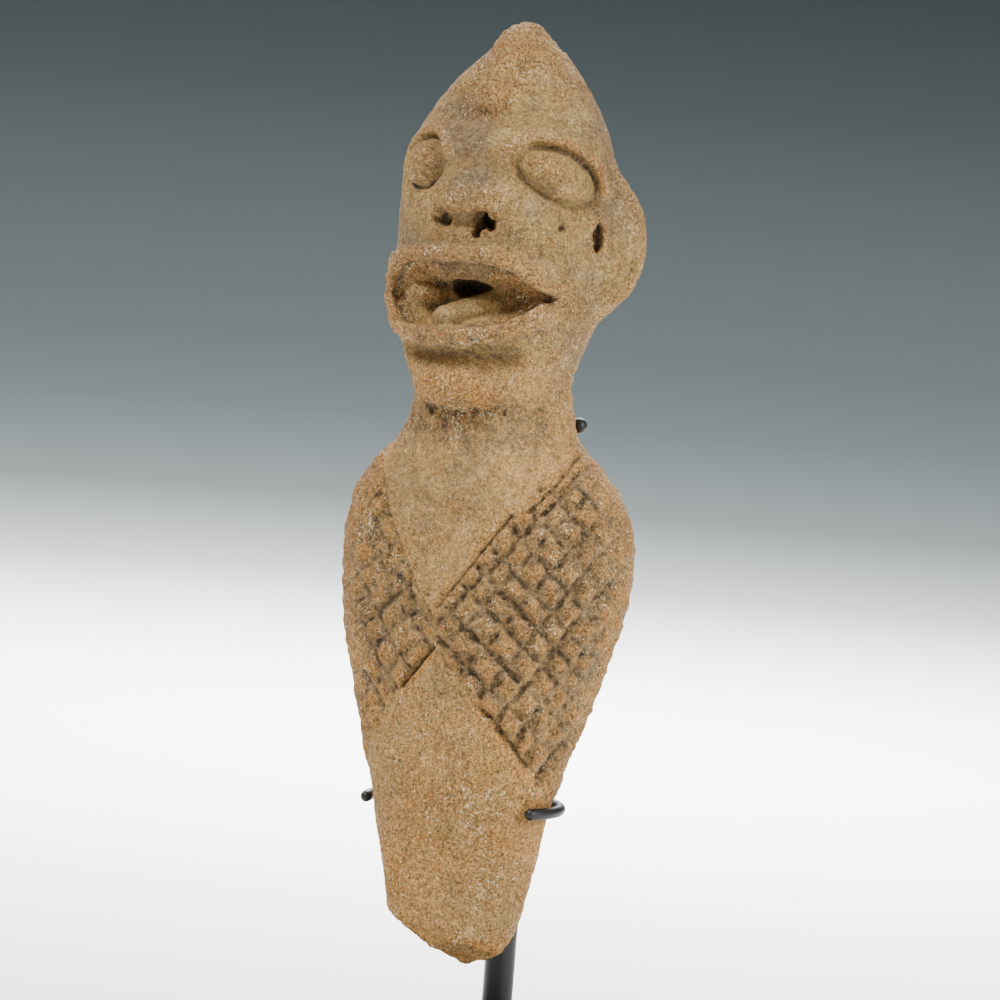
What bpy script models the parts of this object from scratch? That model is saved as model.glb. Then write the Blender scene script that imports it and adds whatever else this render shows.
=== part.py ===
"""A terracotta funerary figure held on its display stand.

One fired-clay figure with a pointed head, pellet eyes, an open mouth and a crossed, hatched
garment, broken off below. A wire clip at the hips and a wire fork at the neck carry it on a
steel post and spine, which stand in a flat steel base. Metres, +Z up, the face looks along -Y,
and the origin is the middle of the base's underside.
"""

import math

import bmesh
import bpy
import numpy as np
from mathutils import Vector

# Driving sizes in metres
FIGURE_HEIGHT = 0.240
FIGURE_LIFT = 0.030
BASE_WIDTH = 0.104
BASE_DEPTH = 0.092
BASE_THICKNESS = 0.014
BASE_BEVEL = 0.0012
POST_DIAMETER = 0.008
POST_SEAT_DEPTH = 0.010
SPINE_DIAMETER = 0.0045
WIRE_DIAMETER = 0.003
BALL_TIP_DIAMETER = 0.0042
WIRE_CLEARANCE = 0.0004
WELD_GAP = 0.0003
WIRE_SIDES_RESOLUTION = 2

# The figure's own form is written in millimetres of a figure 240 mm tall
MODELLED_HEIGHT = 240.0
METRES_PER_MM = FIGURE_HEIGHT / MODELLED_HEIGHT
FIGURE_TRIANGLES = 8500
REMESH_VOXEL = 0.9

# Height, half width, half depth in front, half depth behind, and how far back the middle lies
BODY_SECTIONS = (
    (-6.0, 14.5, 11.5, 11.5, -1.2),
    (12.0, 18.0, 13.6, 13.4, -1.2),
    (34.0, 22.4, 16.2, 15.6, -1.3),
    (46.0, 25.2, 17.9, 17.4, -1.3),
    (70.0, 32.2, 22.2, 22.2, -0.2),
    (84.0, 36.4, 24.4, 25.4, 0.6),
    (100.0, 39.0, 25.4, 27.2, 1.2),
    (113.0, 38.4, 24.6, 26.6, 1.4),
    (122.0, 35.2, 22.6, 24.2, 1.2),
    (129.0, 29.8, 20.4, 21.0, 0.4),
    (136.0, 23.4, 18.4, 18.2, -0.4),
    (143.0, 21.2, 17.6, 17.4, -0.8),
    (175.0, 20.8, 16.0, 17.4, -1.0),
)
BODY_SQUARENESS = 2.15
HEAD_SECTIONS = (
    (138.0, 19.8, 18.0, 14.0, -1.5),
    (149.0, 21.8, 19.2, 17.0, -2.2),
    (160.0, 24.6, 20.8, 18.4, -2.6),
    (172.0, 26.8, 22.0, 19.8, -2.6),
    (184.0, 28.0, 21.8, 21.4, -2.4),
    (198.0, 28.0, 20.6, 22.2, -2.2),
    (208.0, 27.2, 19.8, 21.8, -1.8),
    (214.0, 25.0, 18.0, 20.4, -1.4),
    (220.0, 21.4, 15.4, 18.0, -0.8),
    (226.0, 17.2, 12.2, 14.8, 0.2),
    (232.0, 11.8, 8.8, 10.6, 1.8),
    (237.0, 6.6, 5.8, 6.0, 2.4),
    (242.0, 1.2, 1.2, 1.2, 2.6),
)
HEAD_SQUARENESS = 2.1
UNEVENNESS = 0.35

# The face sits a little to the figure's left of its axis, the eyes a little more
FACE_SIDE = 1.6
EYE_MIDDLE, EYE_HEIGHT, EYE_TILT = 3.2, 203.1, -0.035
EYE_FACING = math.radians(40)
EYE_BULGE = 2.2
EYE_GROOVE, EYE_GROOVE_WIDTH, EYE_GROOVE_RIM = 1.5, 1.1, 0.5
LID_HEIGHT, LID_WIDTH = 1.0, 1.8
# Each eye's place to the side and in front, its half length, half breadth and slant
NEAR_EYE = (20.3, 15.8, 9.3, 5.5, math.radians(20))
FAR_EYE = (18.5, 19.2, 7.4, 5.8, math.radians(12))
NOSE_FRONT, NOSE_HEIGHT, NOSE_HALF_WIDTH = -22.6, 195.6, 10.4
NOSTRIL_HEIGHT = 188.9
EAR_SIDE, EAR_BACK, EAR_HEIGHT = 25.2, 3.4, 186.6
EAR_RADII = (11.8, 6.0, 17.4)
EAR_SPLAY = math.radians(20)
EAR_SLIT_TURN = math.radians(29)
CREST_LOW, CREST_HIGH, CREST_RADIUS = (1.8, -15.4, 220.2), (0.2, -3.6, 235.6), 4.5

# Mouth and chin
MOUTH_MIDDLE, MOUTH_HEIGHT, MOUTH_TILT = -1.0, 171.1, 0.035
# From the middle to the corner on each side, and how square that half of the opening is
MOUTH_NEAR, MOUTH_FAR = (24.0, 3.3), (20.8, 5.5)
MOUTH_RISE, MOUTH_DROP = 8.0, 8.2
MOUTH_RIM_DEPTH, MOUTH_DEPTH, MOUTH_RIDGE = 3.0, 8.8, 174.4
LIP_RADIUS, LIP_MIDDLE, LIP_OUT = 2.4, 2.0, 1.1
TONGUE_TIP, TONGUE_ROOT, TONGUE_RADIUS = (-3.6, -20.9, 164.8), (5.5, -14.2, 169.4), 3.2
CHIN_HEIGHT, CHIN_HALF_WIDTH, CHIN_RADIUS, CHIN_EDGE = 148.4, 15.2, 9.0, 142.2
CHIN_HOLLOW_HEIGHT, CHIN_HOLLOW, CHIN_HOLLOW_WIDTH = 156.6, 3.2, 2.8

# Garment: its edges and grooves are straight lines seen from half-way round to the side
CROSSING_SIDE, CROSSING_HEIGHT = 2.0, 81.0
HATCH_VIEW = math.radians(38)
HATCH_TURN_LIMIT = math.radians(100)
HATCH_BACK_PITCH = 21.0
# The lean of each edge and where it starts on the crossing, near side then far side
NECKLINES = ((math.radians(56.5), 10.3), (math.radians(58.5), 6.5))
HEMS = ((math.radians(51), 1.9), (math.radians(55), 1.9))
NECKLINE_STEP, NECKLINE_STEP_OUT = 36.5, 0.8
GARMENT_TOP, GARMENT_BOTTOM = 51.0, 36.0
# The lean and start of each family of grooves, then where its first lines lie
RISING_LINES = (math.radians(50.3), 10.3, (2.6, 7.7, 14.5, 21.8, 28.5, 35.0, 40.3))
FALLING_LINES = (math.radians(41), 1.9, (1.8, 8.7, 15.9, 22.0, 27.7, 34.7, 41.5))
HATCH_PITCH = 6.5
HATCH_GROOVE, HATCH_GROOVE_WIDTH = 1.8, 1.6
EDGE_GROOVE, EDGE_GROOVE_WIDTH = 0.9, 1.0
GARMENT_THICKNESS = 0.8

# The broken end as planes: outward lean to the side and to the back, then height on the axis
BREAK_FACETS = (
    (-0.51, -0.32, 0.2),
    (0.38, 0.24, -0.6),
    (1.00, 0.64, -7.5),
    (0.30, -0.55, -2.6),
    (-0.30, 0.50, -2.4),
    (-1.10, 0.30, -8.0),
)

# Where the clips reach round, counted in degrees from the middle of the back
HIP_CLIP_HEIGHT, HIP_CLIP_RISE, HIP_CLIP_TILT, HIP_CLIP_REACH = 40.7, 1.7, 0.9, 109.0
NECK_CLIP_HEIGHT, NECK_CLIP_REACH = 138.9, 33.0
POST_TOP_HEIGHT = 52.0


def through(heights, knots, column):
    """A smooth curve through one column of the sections, read at the given heights."""
    z = np.array([k[0] for k in knots])
    v = np.array([k[column] for k in knots])
    slope = np.gradient(v, z)
    h = np.clip(heights, z[0], z[-1])
    i = np.clip(np.searchsorted(z, h) - 1, 0, len(z) - 2)
    step = z[i + 1] - z[i]
    t = (h - z[i]) / step
    rise_in = v[i] * (1 + 2 * t) * (1 - t) ** 2 + slope[i] * step * t * (1 - t) ** 2
    rise_out = v[i + 1] * t**2 * (3 - 2 * t) + slope[i + 1] * step * t**2 * (t - 1)
    return rise_in + rise_out


def loft(p, knots, squareness):
    """How far outside the lofted sections each point lies, measured level."""
    x, y, z = p.T
    half_width = through(z, knots, 1)
    y = y - through(z, knots, 4)
    half_depth = np.where(y < 0, through(z, knots, 2), through(z, knots, 3))
    powers = np.abs(x / half_width) ** squareness + np.abs(y / half_depth) ** squareness
    share = np.maximum(powers, 1e-9) ** (1 / squareness)
    radius = np.maximum(np.hypot(x, y), 1e-6)
    return radius * (1 - 1 / share)


def join(a, b, blend):
    """Two masses pressed together, with a fillet about as wide as blend."""
    h = np.clip(0.5 + 0.5 * (b - a) / blend, 0, 1)
    return b * (1 - h) + a * h - blend * h * (1 - h)


def overlap(a, b, blend):
    """What two masses have in common."""
    return -join(-a, -b, blend)


def cut(a, b, blend):
    """The first mass with the second scooped out of it."""
    return overlap(a, -b, blend)


def bump(distance, half_width):
    return np.exp(-((distance / half_width) ** 2))


def ramp(value, start, end):
    t = np.clip((value - start) / (end - start), 0, 1)
    return t * t * (3 - 2 * t)


def ellipsoid(p, centre, radii, turn=0.0):
    """An egg of clay, with its width turned towards the back."""
    x, y, z = (p - np.array(centre)).T
    c, s = math.cos(turn), math.sin(turn)
    q = np.stack([c * x + s * y, c * y - s * x, z], 1)
    r = np.array(radii)
    near = np.linalg.norm(q / r, axis=1)
    steep = np.linalg.norm(q / (r * r), axis=1)
    return near * (near - 1) / np.maximum(steep, 1e-9)


def roll(p, start, end, radius):
    """A rolled sausage of clay between two points."""
    a, b = np.array(start), np.array(end)
    t = np.clip((p - a) @ (b - a) / ((b - a) @ (b - a)), 0, 1)
    return np.linalg.norm(p - a - t[:, None] * (b - a), axis=1) - radius


def eye_relief(p):
    """Pellet eyes set in grooves, with a raised lid above."""
    x, y, z = p.T
    relief = np.zeros(len(p))
    for side, (out_by, front, length, breadth, slant) in ((1, NEAR_EYE), (-1, FAR_EYE)):
        out = side * (x - EYE_MIDDLE) - out_by
        across = out * math.cos(EYE_FACING) + (y + front) * math.sin(EYE_FACING)
        up = z - EYE_HEIGHT - EYE_TILT * (x - EYE_MIDDLE)
        a = across * math.cos(slant) - up * math.sin(slant)
        b = across * math.sin(slant) + up * math.cos(slant)
        q = np.hypot(a / length, b / breadth)
        pellet = EYE_BULGE * np.clip(1 - q * q, 0, 1) ** 0.75
        groove = EYE_GROOVE * bump((q - 1.12) * breadth, EYE_GROOVE_WIDTH)
        groove = groove * (1 + EYE_GROOVE_RIM * ramp(b, 0, breadth))
        lid = LID_HEIGHT * bump((q - 1.6) * breadth, LID_WIDTH) * (0.3 + 0.7 * ramp(b, -2, 3))
        relief = relief + (pellet - groove + lid) * (side * (x - EYE_MIDDLE) > 0)
    return relief * ramp(-y, 0, 4)


def round_from_middle(p):
    """How far round from the middle of the front, as it looks, and how far above the crossing."""
    x, y, z = p.T
    half_width = through(z, BODY_SECTIONS, 1)
    half_depth = through(z, BODY_SECTIONS, 2)
    side = np.abs(x - CROSSING_SIDE * ramp(-y, 0, 15))
    turn = np.arctan2(side / half_width, -y / half_depth)
    seen = np.minimum(turn, HATCH_TURN_LIMIT)
    across = half_width * np.sin(seen) * math.cos(HATCH_VIEW)
    across = across + half_depth * (1 - np.cos(seen)) * math.sin(HATCH_VIEW)
    return across + HATCH_BACK_PITCH * (turn - seen), z - CROSSING_HEIGHT


def below_rising(across, rise, lean, start):
    """Distance out below a line that rises outwards."""
    return across * math.sin(lean) - (rise - start) * math.cos(lean)


def above_falling(across, rise, lean, start):
    """Distance up above a line that falls outwards."""
    return across * math.sin(lean) + (rise - start) * math.cos(lean)


def garment_edges(p):
    """Distances in from the neckline and up from the hem, each on its own side."""
    across, rise = round_from_middle(p)
    near = p[:, 0] > CROSSING_SIDE
    necks = [below_rising(across, rise, *edge) for edge in NECKLINES]
    hems = [above_falling(across, rise, *edge) for edge in HEMS]
    lean, start, _ = RISING_LINES
    stepped = below_rising(across, rise, lean, start) + NECKLINE_STEP_OUT
    near_neck = np.where(rise > NECKLINE_STEP, stepped, necks[0])
    return np.where(near, near_neck, necks[1]), np.where(near, hems[0], hems[1])


def off_nearest_line(distance, places):
    """How far off the nearest incised line lies, counted from the edge."""
    lines = np.array([*places, *(places[-1] + HATCH_PITCH * np.arange(1, 14))])
    return distance - lines[np.searchsorted((lines[1:] + lines[:-1]) / 2, distance)]


def garment_relief(p):
    """Cloth a little proud of the body, cut into pillows by two families of grooves."""
    across, rise = round_from_middle(p)
    from_neck, from_hem = garment_edges(p)
    inside = np.minimum(np.minimum(from_neck, from_hem), GARMENT_TOP - rise)
    inside = np.minimum(inside, GARMENT_BOTTOM + rise)
    rising = below_rising(across, rise, *RISING_LINES[:2])
    falling = above_falling(across, rise, *FALLING_LINES[:2])
    groove = np.zeros(len(p))
    for distance, places in ((rising, RISING_LINES[2]), (falling, FALLING_LINES[2])):
        line = bump(off_nearest_line(distance, places), HATCH_GROOVE_WIDTH)
        groove = np.maximum(groove, line * ramp(inside, -0.2, 1.2))
    near = p[:, 0] > CROSSING_SIDE
    edge_on = ramp(np.arctan2(np.abs(p[:, 0]), -p[:, 1]), 1.15 + 0.25 * near, 1.65 + 0.25 * near)
    relief = HATCH_GROOVE * groove * (1 - 0.6 * edge_on)
    relief = np.maximum(relief, EDGE_GROOVE * bump(inside, EDGE_GROOVE_WIDTH))
    return GARMENT_THICKNESS * ramp(inside, -0.4, 0.9) - relief


def mouth_lens(p):
    """Distance outside the opening of the mouth, height in it and distance past its corner."""
    across = p[:, 0] - MOUTH_MIDDLE
    corner, fullness = (np.where(across > 0, MOUTH_NEAR[k], MOUTH_FAR[k]) for k in (0, 1))
    share = np.minimum(np.abs(across) / corner, 1.25)
    up = p[:, 2] - MOUTH_HEIGHT - MOUTH_TILT * across
    height = np.where(up > 0, MOUTH_RISE, MOUTH_DROP)
    slope = np.hypot(1, fullness * height * share ** (fullness - 1) / corner)
    above = (up - MOUTH_RISE * (1 - share**fullness)) / slope
    below = (-up - MOUTH_DROP * (1 - share**fullness)) / slope
    return np.maximum(above, below), up, np.abs(across) - corner


def broken_end(p):
    """How far below the faceted break each point lies."""
    x, y, z = p.T
    planes = [(lean_x * (x - 2.0) + lean_y * y + top) - z for lean_x, lean_y, top in BREAK_FACETS]
    return np.maximum.reduce(planes)


def clay(p):
    """How far outside the figure's clay each point lies, in millimetres; negative inside."""
    x, y, z = p.T
    wobble = np.sin(x * 0.21 + z * 0.13) + np.sin(y * 0.27 - z * 0.19 + 1.0) * np.cos(x * 0.17)
    body = overlap(loft(p, BODY_SECTIONS, BODY_SQUARENESS), z - 172.0, 2.0)
    head = loft(p, HEAD_SECTIONS, HEAD_SQUARENESS)
    sideways = ramp(np.abs(x), 8, 24)
    underside = 143.5 + 8.0 * ramp(y, -16, 8) + 6.0 * sideways
    head = overlap(head, underside - z, 3.0 + 8.0 * sideways)
    figure = join(body, head, 2.5 + 5.0 * sideways) - 0.5 * UNEVENNESS * wobble
    figure = add_features(p, figure)
    figure = open_mouth(p, figure)
    figure = cut_small_holes(p, figure)
    figure = figure - eye_relief(p) - garment_relief(p)
    return overlap(figure, broken_end(p), 1.0)


def add_features(p, figure):
    """Brow, nose, ears, crest and chin, pressed onto the head."""
    brow = ellipsoid(p, (EYE_MIDDLE, -16.5, 207.0), (16, 6.5, 4.5))
    bridge = roll(p, (FACE_SIDE, -18.5, 206.0), (FACE_SIDE, NOSE_FRONT, 197.5), 3.2)
    nose = ellipsoid(p, (FACE_SIDE, NOSE_FRONT, NOSE_HEIGHT), (NOSE_HALF_WIDTH, 4.7, 4.6))
    wing = ellipsoid(p, (7.0, -23.6, 192.8), (3.8, 3.2, 2.6))
    figure = join(join(join(join(figure, brow, 6.0), bridge, 6.0), nose, 4.0), wing, 1.5)
    for side in (-1, 1):
        ear_centre = (side * EAR_SIDE, EAR_BACK, EAR_HEIGHT)
        figure = join(figure, ellipsoid(p, ear_centre, EAR_RADII, side * EAR_SPLAY), 7.0)
    crest = roll(p, CREST_LOW, CREST_HIGH, CREST_RADIUS)
    chin = ellipsoid(p, (-0.4, -11.6, CHIN_HEIGHT), (CHIN_HALF_WIDTH, 12.9, CHIN_RADIUS))
    chin = overlap(chin, CHIN_EDGE + 0.02 * p[:, 0] ** 2 - p[:, 2], 1.6)
    return join(join(figure, crest, 1.2), chin, 1.2)


def open_mouth(p, figure):
    """Rolled lips round a bowl that deepens below a ridge, a hollow under them and a tongue."""
    x, y, z = p.T
    face = figure
    lens, up, past_corner = mouth_lens(p)
    hollow = CHIN_HOLLOW * bump(z - CHIN_HOLLOW_HEIGHT, CHIN_HOLLOW_WIDTH) * ramp(-y, 0, 8)
    figure = figure + hollow * ramp(CHIN_HALF_WIDTH + 4.0 - np.abs(x), 0, 8)
    ends = ramp(-past_corner, -3.5, 1.5)
    lips = np.hypot(lens - LIP_MIDDLE, face - LIP_OUT) - LIP_RADIUS * (0.5 + 0.5 * ends)
    lips = lips + 2.5 * (1 - ends)
    figure = np.where(y < 0, join(figure, lips, 1.6), figure)
    droop = ellipsoid(p, (2.7, -23.2, 160.4), (3.8, 2.6, 2.8))
    figure = join(figure, droop, 1.5)
    below_ridge = 0.3 + 0.7 * ramp(MOUTH_RIDGE - MOUTH_HEIGHT - up, -1.4, 1.4)
    bowl = ramp(-lens, 0, 5) * below_ridge * ramp(-past_corner, 1, 14)
    depth = MOUTH_RIM_DEPTH + (MOUTH_DEPTH - MOUTH_RIM_DEPTH) * bowl
    figure = np.where(y < 0, cut(figure, np.maximum(lens, -(face + depth)), 2.0), figure)
    throat = ellipsoid(p, (0.2, -14.0, 173.0), (6.0, 6.5, 2.9))
    tongue = roll(p, TONGUE_TIP, TONGUE_ROOT, TONGUE_RADIUS)
    lump = ellipsoid(p, (-11.6, -15.4, 171.2), (5.6, 4.2, 2.7))
    return join(join(cut(figure, throat, 1.0), tongue, 1.2), lump, 2.0)


def cut_small_holes(p, figure):
    """The groove under the nose with its nostrils, and a slit at the root of each ear."""
    under = roll(p, (-5.6, -24.3, NOSTRIL_HEIGHT + 0.4), (8.6, -24.3, NOSTRIL_HEIGHT + 0.4), 2.3)
    figure = cut(figure, under, 1.0)
    for x, inner_x, inner_y, radius in ((6.3, 5.8, -17.5, 2.4), (8.2, 7.8, -20.6, 2.3),
                                        (-5.2, -5.0, -21.4, 2.2)):
        hole = roll(p, (x, -30.0, NOSTRIL_HEIGHT - 0.4), (inner_x, inner_y, NOSTRIL_HEIGHT), radius)
        figure = cut(figure, hole, 0.7)
    for side in (-1, 1):
        slit = ellipsoid(p, (side * 27.9, -3.6, 188.1), (4.0, 1.4, 4.0), -side * EAR_SLIT_TURN)
        figure = cut(figure, slit, 0.6)
    return figure


def settle(points, steps):
    """Press points onto the clay's surface, square to it."""
    probe = 0.05
    for _ in range(steps):
        outside = clay(points)
        shifts = np.eye(3) * probe
        gradient = np.stack([clay(points + s) - clay(points - s) for s in shifts], 1) / (2 * probe)
        steepness = np.maximum((gradient**2).sum(1), 0.25)
        move = (outside / steepness)[:, None] * gradient
        length = np.maximum(np.linalg.norm(move, axis=1, keepdims=True), 1e-9)
        points = points - move * np.minimum(1, 0.5 / length)
    return points


def read_points(mesh):
    points = np.empty(len(mesh.vertices) * 3, dtype=np.float32)
    mesh.vertices.foreach_get("co", points)
    return points.reshape(-1, 3).astype(float)


def write_points(mesh, points):
    mesh.vertices.foreach_set("co", points.astype(np.float32).ravel())
    mesh.update()


def wrapped_sphere(rings, segments):
    """A sphere whose rings are spread over the figure's height and pushed in onto the clay."""
    mesh = bpy.data.meshes.new("figure")
    shape = bmesh.new()
    bmesh.ops.create_uvsphere(shape, u_segments=segments, v_segments=rings, radius=1.0)
    shape.to_mesh(mesh)
    shape.free()
    unit = read_points(mesh)
    height = MODELLED_HEIGHT * np.arccos(np.clip(-unit[:, 2], -1, 1)) / math.pi
    level = np.maximum(np.hypot(unit[:, 0], unit[:, 1]), 1e-6)
    way = unit[:, :2] / level[:, None]
    way[level < 1e-4] = 0.0
    radius = np.full(len(unit), 46.0)

    def placed(r):
        return np.stack([way[:, 0] * r, way[:, 1] * r, height], 1)

    step = 0.5
    for _ in range(int(46.0 / step)):
        outside = clay(placed(radius)) > 0
        radius = np.where(outside, np.maximum(radius - step, 0.2), radius)
    write_points(mesh, placed(radius))
    return mesh


def painted(name, hex_colour, roughness, metallic):
    """A plain material of one colour, given in sRGB."""
    material = bpy.data.materials.new(name)
    material.use_nodes = True
    shader = material.node_tree.nodes["Principled BSDF"]
    parts = [int(hex_colour[i : i + 2], 16) / 255 for i in (0, 2, 4)]
    linear = [c / 12.92 if c <= 0.04045 else ((c + 0.055) / 1.055) ** 2.4 for c in parts]
    shader.inputs["Base Color"].default_value = (*linear, 1.0)
    shader.inputs["Roughness"].default_value = roughness
    shader.inputs["Metallic"].default_value = metallic
    material.diffuse_color = (*linear, 1.0)
    return material


def place(name, data, collection, material):
    obj = bpy.data.objects.new(name, data)
    collection.objects.link(obj)
    data.materials.append(material)
    return obj


def evaluated_mesh(obj):
    bpy.context.view_layer.update()
    depsgraph = bpy.context.evaluated_depsgraph_get()
    return bpy.data.meshes.new_from_object(obj.evaluated_get(depsgraph))


def figure_floor():
    return BASE_THICKNESS + FIGURE_LIFT


def make_figure(collection):
    terracotta = painted("fired_terracotta", "9b7b55", 0.9, 0.0)
    obj = place("figure", wrapped_sphere(240, 200), collection, terracotta)
    remesh = obj.modifiers.new("even_faces", "REMESH")
    remesh.mode = "VOXEL"
    remesh.voxel_size = REMESH_VOXEL
    even = evaluated_mesh(obj)
    obj.modifiers.remove(remesh)
    obj.data = even
    write_points(even, settle(read_points(even), 4))
    relax = obj.modifiers.new("relaxed_faces", "SMOOTH")
    relax.iterations = 3
    even = evaluated_mesh(obj)
    obj.modifiers.remove(relax)
    obj.data = even
    write_points(even, settle(read_points(even), 3))
    thin = obj.modifiers.new("fewer_faces", "DECIMATE")
    thin.use_collapse_triangulate = True
    triangles = sum(len(polygon.vertices) - 2 for polygon in even.polygons)
    thin.ratio = FIGURE_TRIANGLES / triangles
    sparse = evaluated_mesh(obj)
    obj.modifiers.remove(thin)
    obj.data = sparse
    points = read_points(sparse)
    tip = points[:, 2].min()
    crown = points[:, 2].max()
    points[:, 2] = (points[:, 2] - tip) * MODELLED_HEIGHT / (crown - tip)
    write_points(sparse, points * METRES_PER_MM)
    obj.location.z = figure_floor()
    sparse.shade_smooth()
    sparse.set_sharp_from_angle(angle=math.radians(35))


def round_the_body(height_mm, turn_degrees, standoff):
    """A point in metres, a standoff away from the body, turned from the middle of the back."""
    height = np.array([height_mm])
    half_width, front, back, middle = (
        float(through(height, BODY_SECTIONS, column)[0]) * METRES_PER_MM for column in (1, 2, 3, 4)
    )
    s, c = math.sin(math.radians(turn_degrees)), math.cos(math.radians(turn_degrees))
    power = 2 / BODY_SQUARENESS
    half_depth = back if c > 0 else front
    x = math.copysign(abs(s) ** power, s) * (half_width + standoff)
    y = math.copysign(abs(c) ** power, c) * (half_depth + standoff)
    return Vector((x, middle + y, figure_floor() + height_mm * METRES_PER_MM))


def off_the_clay(diameter):
    """From the bare body section to the middle of a wire that lies against the clay."""
    return UNEVENNESS * METRES_PER_MM + WIRE_CLEARANCE + diameter / 2


def off_the_garment(diameter):
    return off_the_clay(diameter) + GARMENT_THICKNESS * METRES_PER_MM


def wire(name, points, diameter, collection, material, swell=None):
    """A round wire through the points; swell gives each point's share of the diameter."""
    curve = bpy.data.curves.new(name, "CURVE")
    curve.dimensions = "3D"
    curve.bevel_depth = diameter / 2
    curve.bevel_resolution = WIRE_SIDES_RESOLUTION
    curve.use_fill_caps = True
    spline = curve.splines.new("POLY")
    spline.points.add(len(points) - 1)
    for i, point in enumerate(points):
        spline.points[i].co = (*point, 1.0)
        spline.points[i].radius = swell[i] if swell else 1.0
    spline.use_smooth = True
    return place(name, curve, collection, material)


def hip_clip_points(count):
    points = []
    for i in range(count):
        turn = HIP_CLIP_REACH * (2 * i / (count - 1) - 1)
        rise = HIP_CLIP_RISE * (1 - abs(turn) / HIP_CLIP_REACH)
        height = HIP_CLIP_HEIGHT + rise + HIP_CLIP_TILT * turn / HIP_CLIP_REACH
        points.append(round_the_body(height, turn, off_the_clay(WIRE_DIAMETER)))
    return points


def neck_clip_points(count):
    standoff = off_the_clay(BALL_TIP_DIAMETER)
    turns = [NECK_CLIP_REACH * (2 * i / (count - 1) - 1) for i in range(count)]
    return [round_the_body(NECK_CLIP_HEIGHT, turn, standoff) for turn in turns]


def ball_ends(points):
    """Extra points at both ends of a wire, with the swell that rounds each end into a ball."""
    ball = BALL_TIP_DIAMETER / 2
    thin = WIRE_DIAMETER / 2
    start = -math.sqrt(ball**2 - thin**2)
    offsets = [start + (ball * 0.995 - start) * i / 6 for i in range(7)]
    radii = [math.sqrt(max(ball**2 - o**2, 0.0)) for o in offsets]
    out_first = (points[0] - points[1]).normalized()
    out_last = (points[-1] - points[-2]).normalized()
    first = [points[0] + out_first * (o - start) for o in reversed(offsets)]
    last = [points[-1] + out_last * (o - start) for o in offsets]
    swell = [r / thin for r in radii]
    middle = [1.0] * (len(points) - 2)
    return first + points[1:-1] + last, swell[::-1] + middle + swell


def post_back():
    """How far back the post stands: behind the hip clip, which lies between it and the clay."""
    behind_clip = round_the_body(HIP_CLIP_HEIGHT + HIP_CLIP_RISE, 0, off_the_clay(WIRE_DIAMETER))
    return behind_clip.y + WIRE_DIAMETER / 2 + WELD_GAP + POST_DIAMETER / 2


def spine_points(count):
    """From the post's top up the hollow of the back to behind the neck clip."""
    top_height = NECK_CLIP_HEIGHT + 3.0
    neck_back = max(point.y for point in neck_clip_points(9))
    behind_neck = neck_back + WIRE_DIAMETER / 2 + WELD_GAP + SPINE_DIAMETER / 2
    start = Vector((0, post_back(), figure_floor() + POST_TOP_HEIGHT * METRES_PER_MM + WELD_GAP))
    points = [start]
    for i in range(1, count):
        height = POST_TOP_HEIGHT + (top_height - POST_TOP_HEIGHT) * i / (count - 1)
        on_back = round_the_body(height, 0, off_the_garment(SPINE_DIAMETER))
        share = i / (count - 1)
        from_post = 1 - float(ramp(np.array(share), 0, 0.3))
        on_back.y = max(on_back.y, post_back()) * from_post + on_back.y * (1 - from_post)
        on_back.y = max(on_back.y, behind_neck)
        points.append(on_back)
    return points


def make_base(collection, cutters, steel):
    bpy.ops.mesh.primitive_cube_add(size=1)
    base = bpy.context.object
    base.name = "base"
    base.data.name = "base"
    for vertex in base.data.vertices:
        vertex.co.x *= BASE_WIDTH
        vertex.co.y *= BASE_DEPTH
        vertex.co.z = (vertex.co.z + 0.5) * BASE_THICKNESS
    move_to(base, collection)
    base.data.materials.append(steel)
    edge = base.modifiers.new("softened_edges", "BEVEL")
    edge.width = BASE_BEVEL
    edge.segments = 2
    seat = base.modifiers.new("post_seat", "BOOLEAN")
    seat.operation = "DIFFERENCE"
    seat.object = make_seat_cutter(cutters)


def make_seat_cutter(cutters):
    depth = POST_SEAT_DEPTH + WELD_GAP
    radius = POST_DIAMETER / 2 + WELD_GAP
    above = 0.002
    bpy.ops.mesh.primitive_cylinder_add(vertices=24, radius=radius, depth=depth + above)
    cutter = bpy.context.object
    cutter.name = "post_seat_cutter"
    cutter.location = (0, post_back(), BASE_THICKNESS + (above - depth) / 2)
    move_to(cutter, cutters)
    cutter.hide_render = True
    cutter.display_type = "WIRE"
    return cutter


def make_post(collection, steel):
    foot = BASE_THICKNESS - POST_SEAT_DEPTH
    top = figure_floor() + POST_TOP_HEIGHT * METRES_PER_MM
    bpy.ops.mesh.primitive_cylinder_add(vertices=24, radius=POST_DIAMETER / 2, depth=top - foot)
    post = bpy.context.object
    post.name = "post"
    post.location = (0, post_back(), (top + foot) / 2)
    move_to(post, collection)
    post.data.materials.append(steel)
    post.data.shade_smooth()
    post.data.set_sharp_from_angle(angle=math.radians(40))


def move_to(obj, collection):
    for other in list(obj.users_collection):
        other.objects.unlink(obj)
    collection.objects.link(obj)


def build():
    for obj in list(bpy.data.objects):
        bpy.data.objects.remove(obj)
    parts = bpy.data.collections.new("terracotta_funerary_figure")
    cutters = bpy.data.collections.new("cutters")
    for collection in (parts, cutters):
        bpy.context.scene.collection.children.link(collection)
    steel = painted("black_painted_steel", "1b1b1c", 0.5, 0.0)
    make_figure(parts)
    make_base(parts, cutters, steel)
    make_post(parts, steel)
    wire("spine", spine_points(18), SPINE_DIAMETER, parts, steel)
    wire("hip_clip", hip_clip_points(25), WIRE_DIAMETER, parts, steel)
    points, swell = ball_ends(neck_clip_points(17))
    wire("neck_clip", points, WIRE_DIAMETER, parts, steel, swell)


build()
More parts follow.
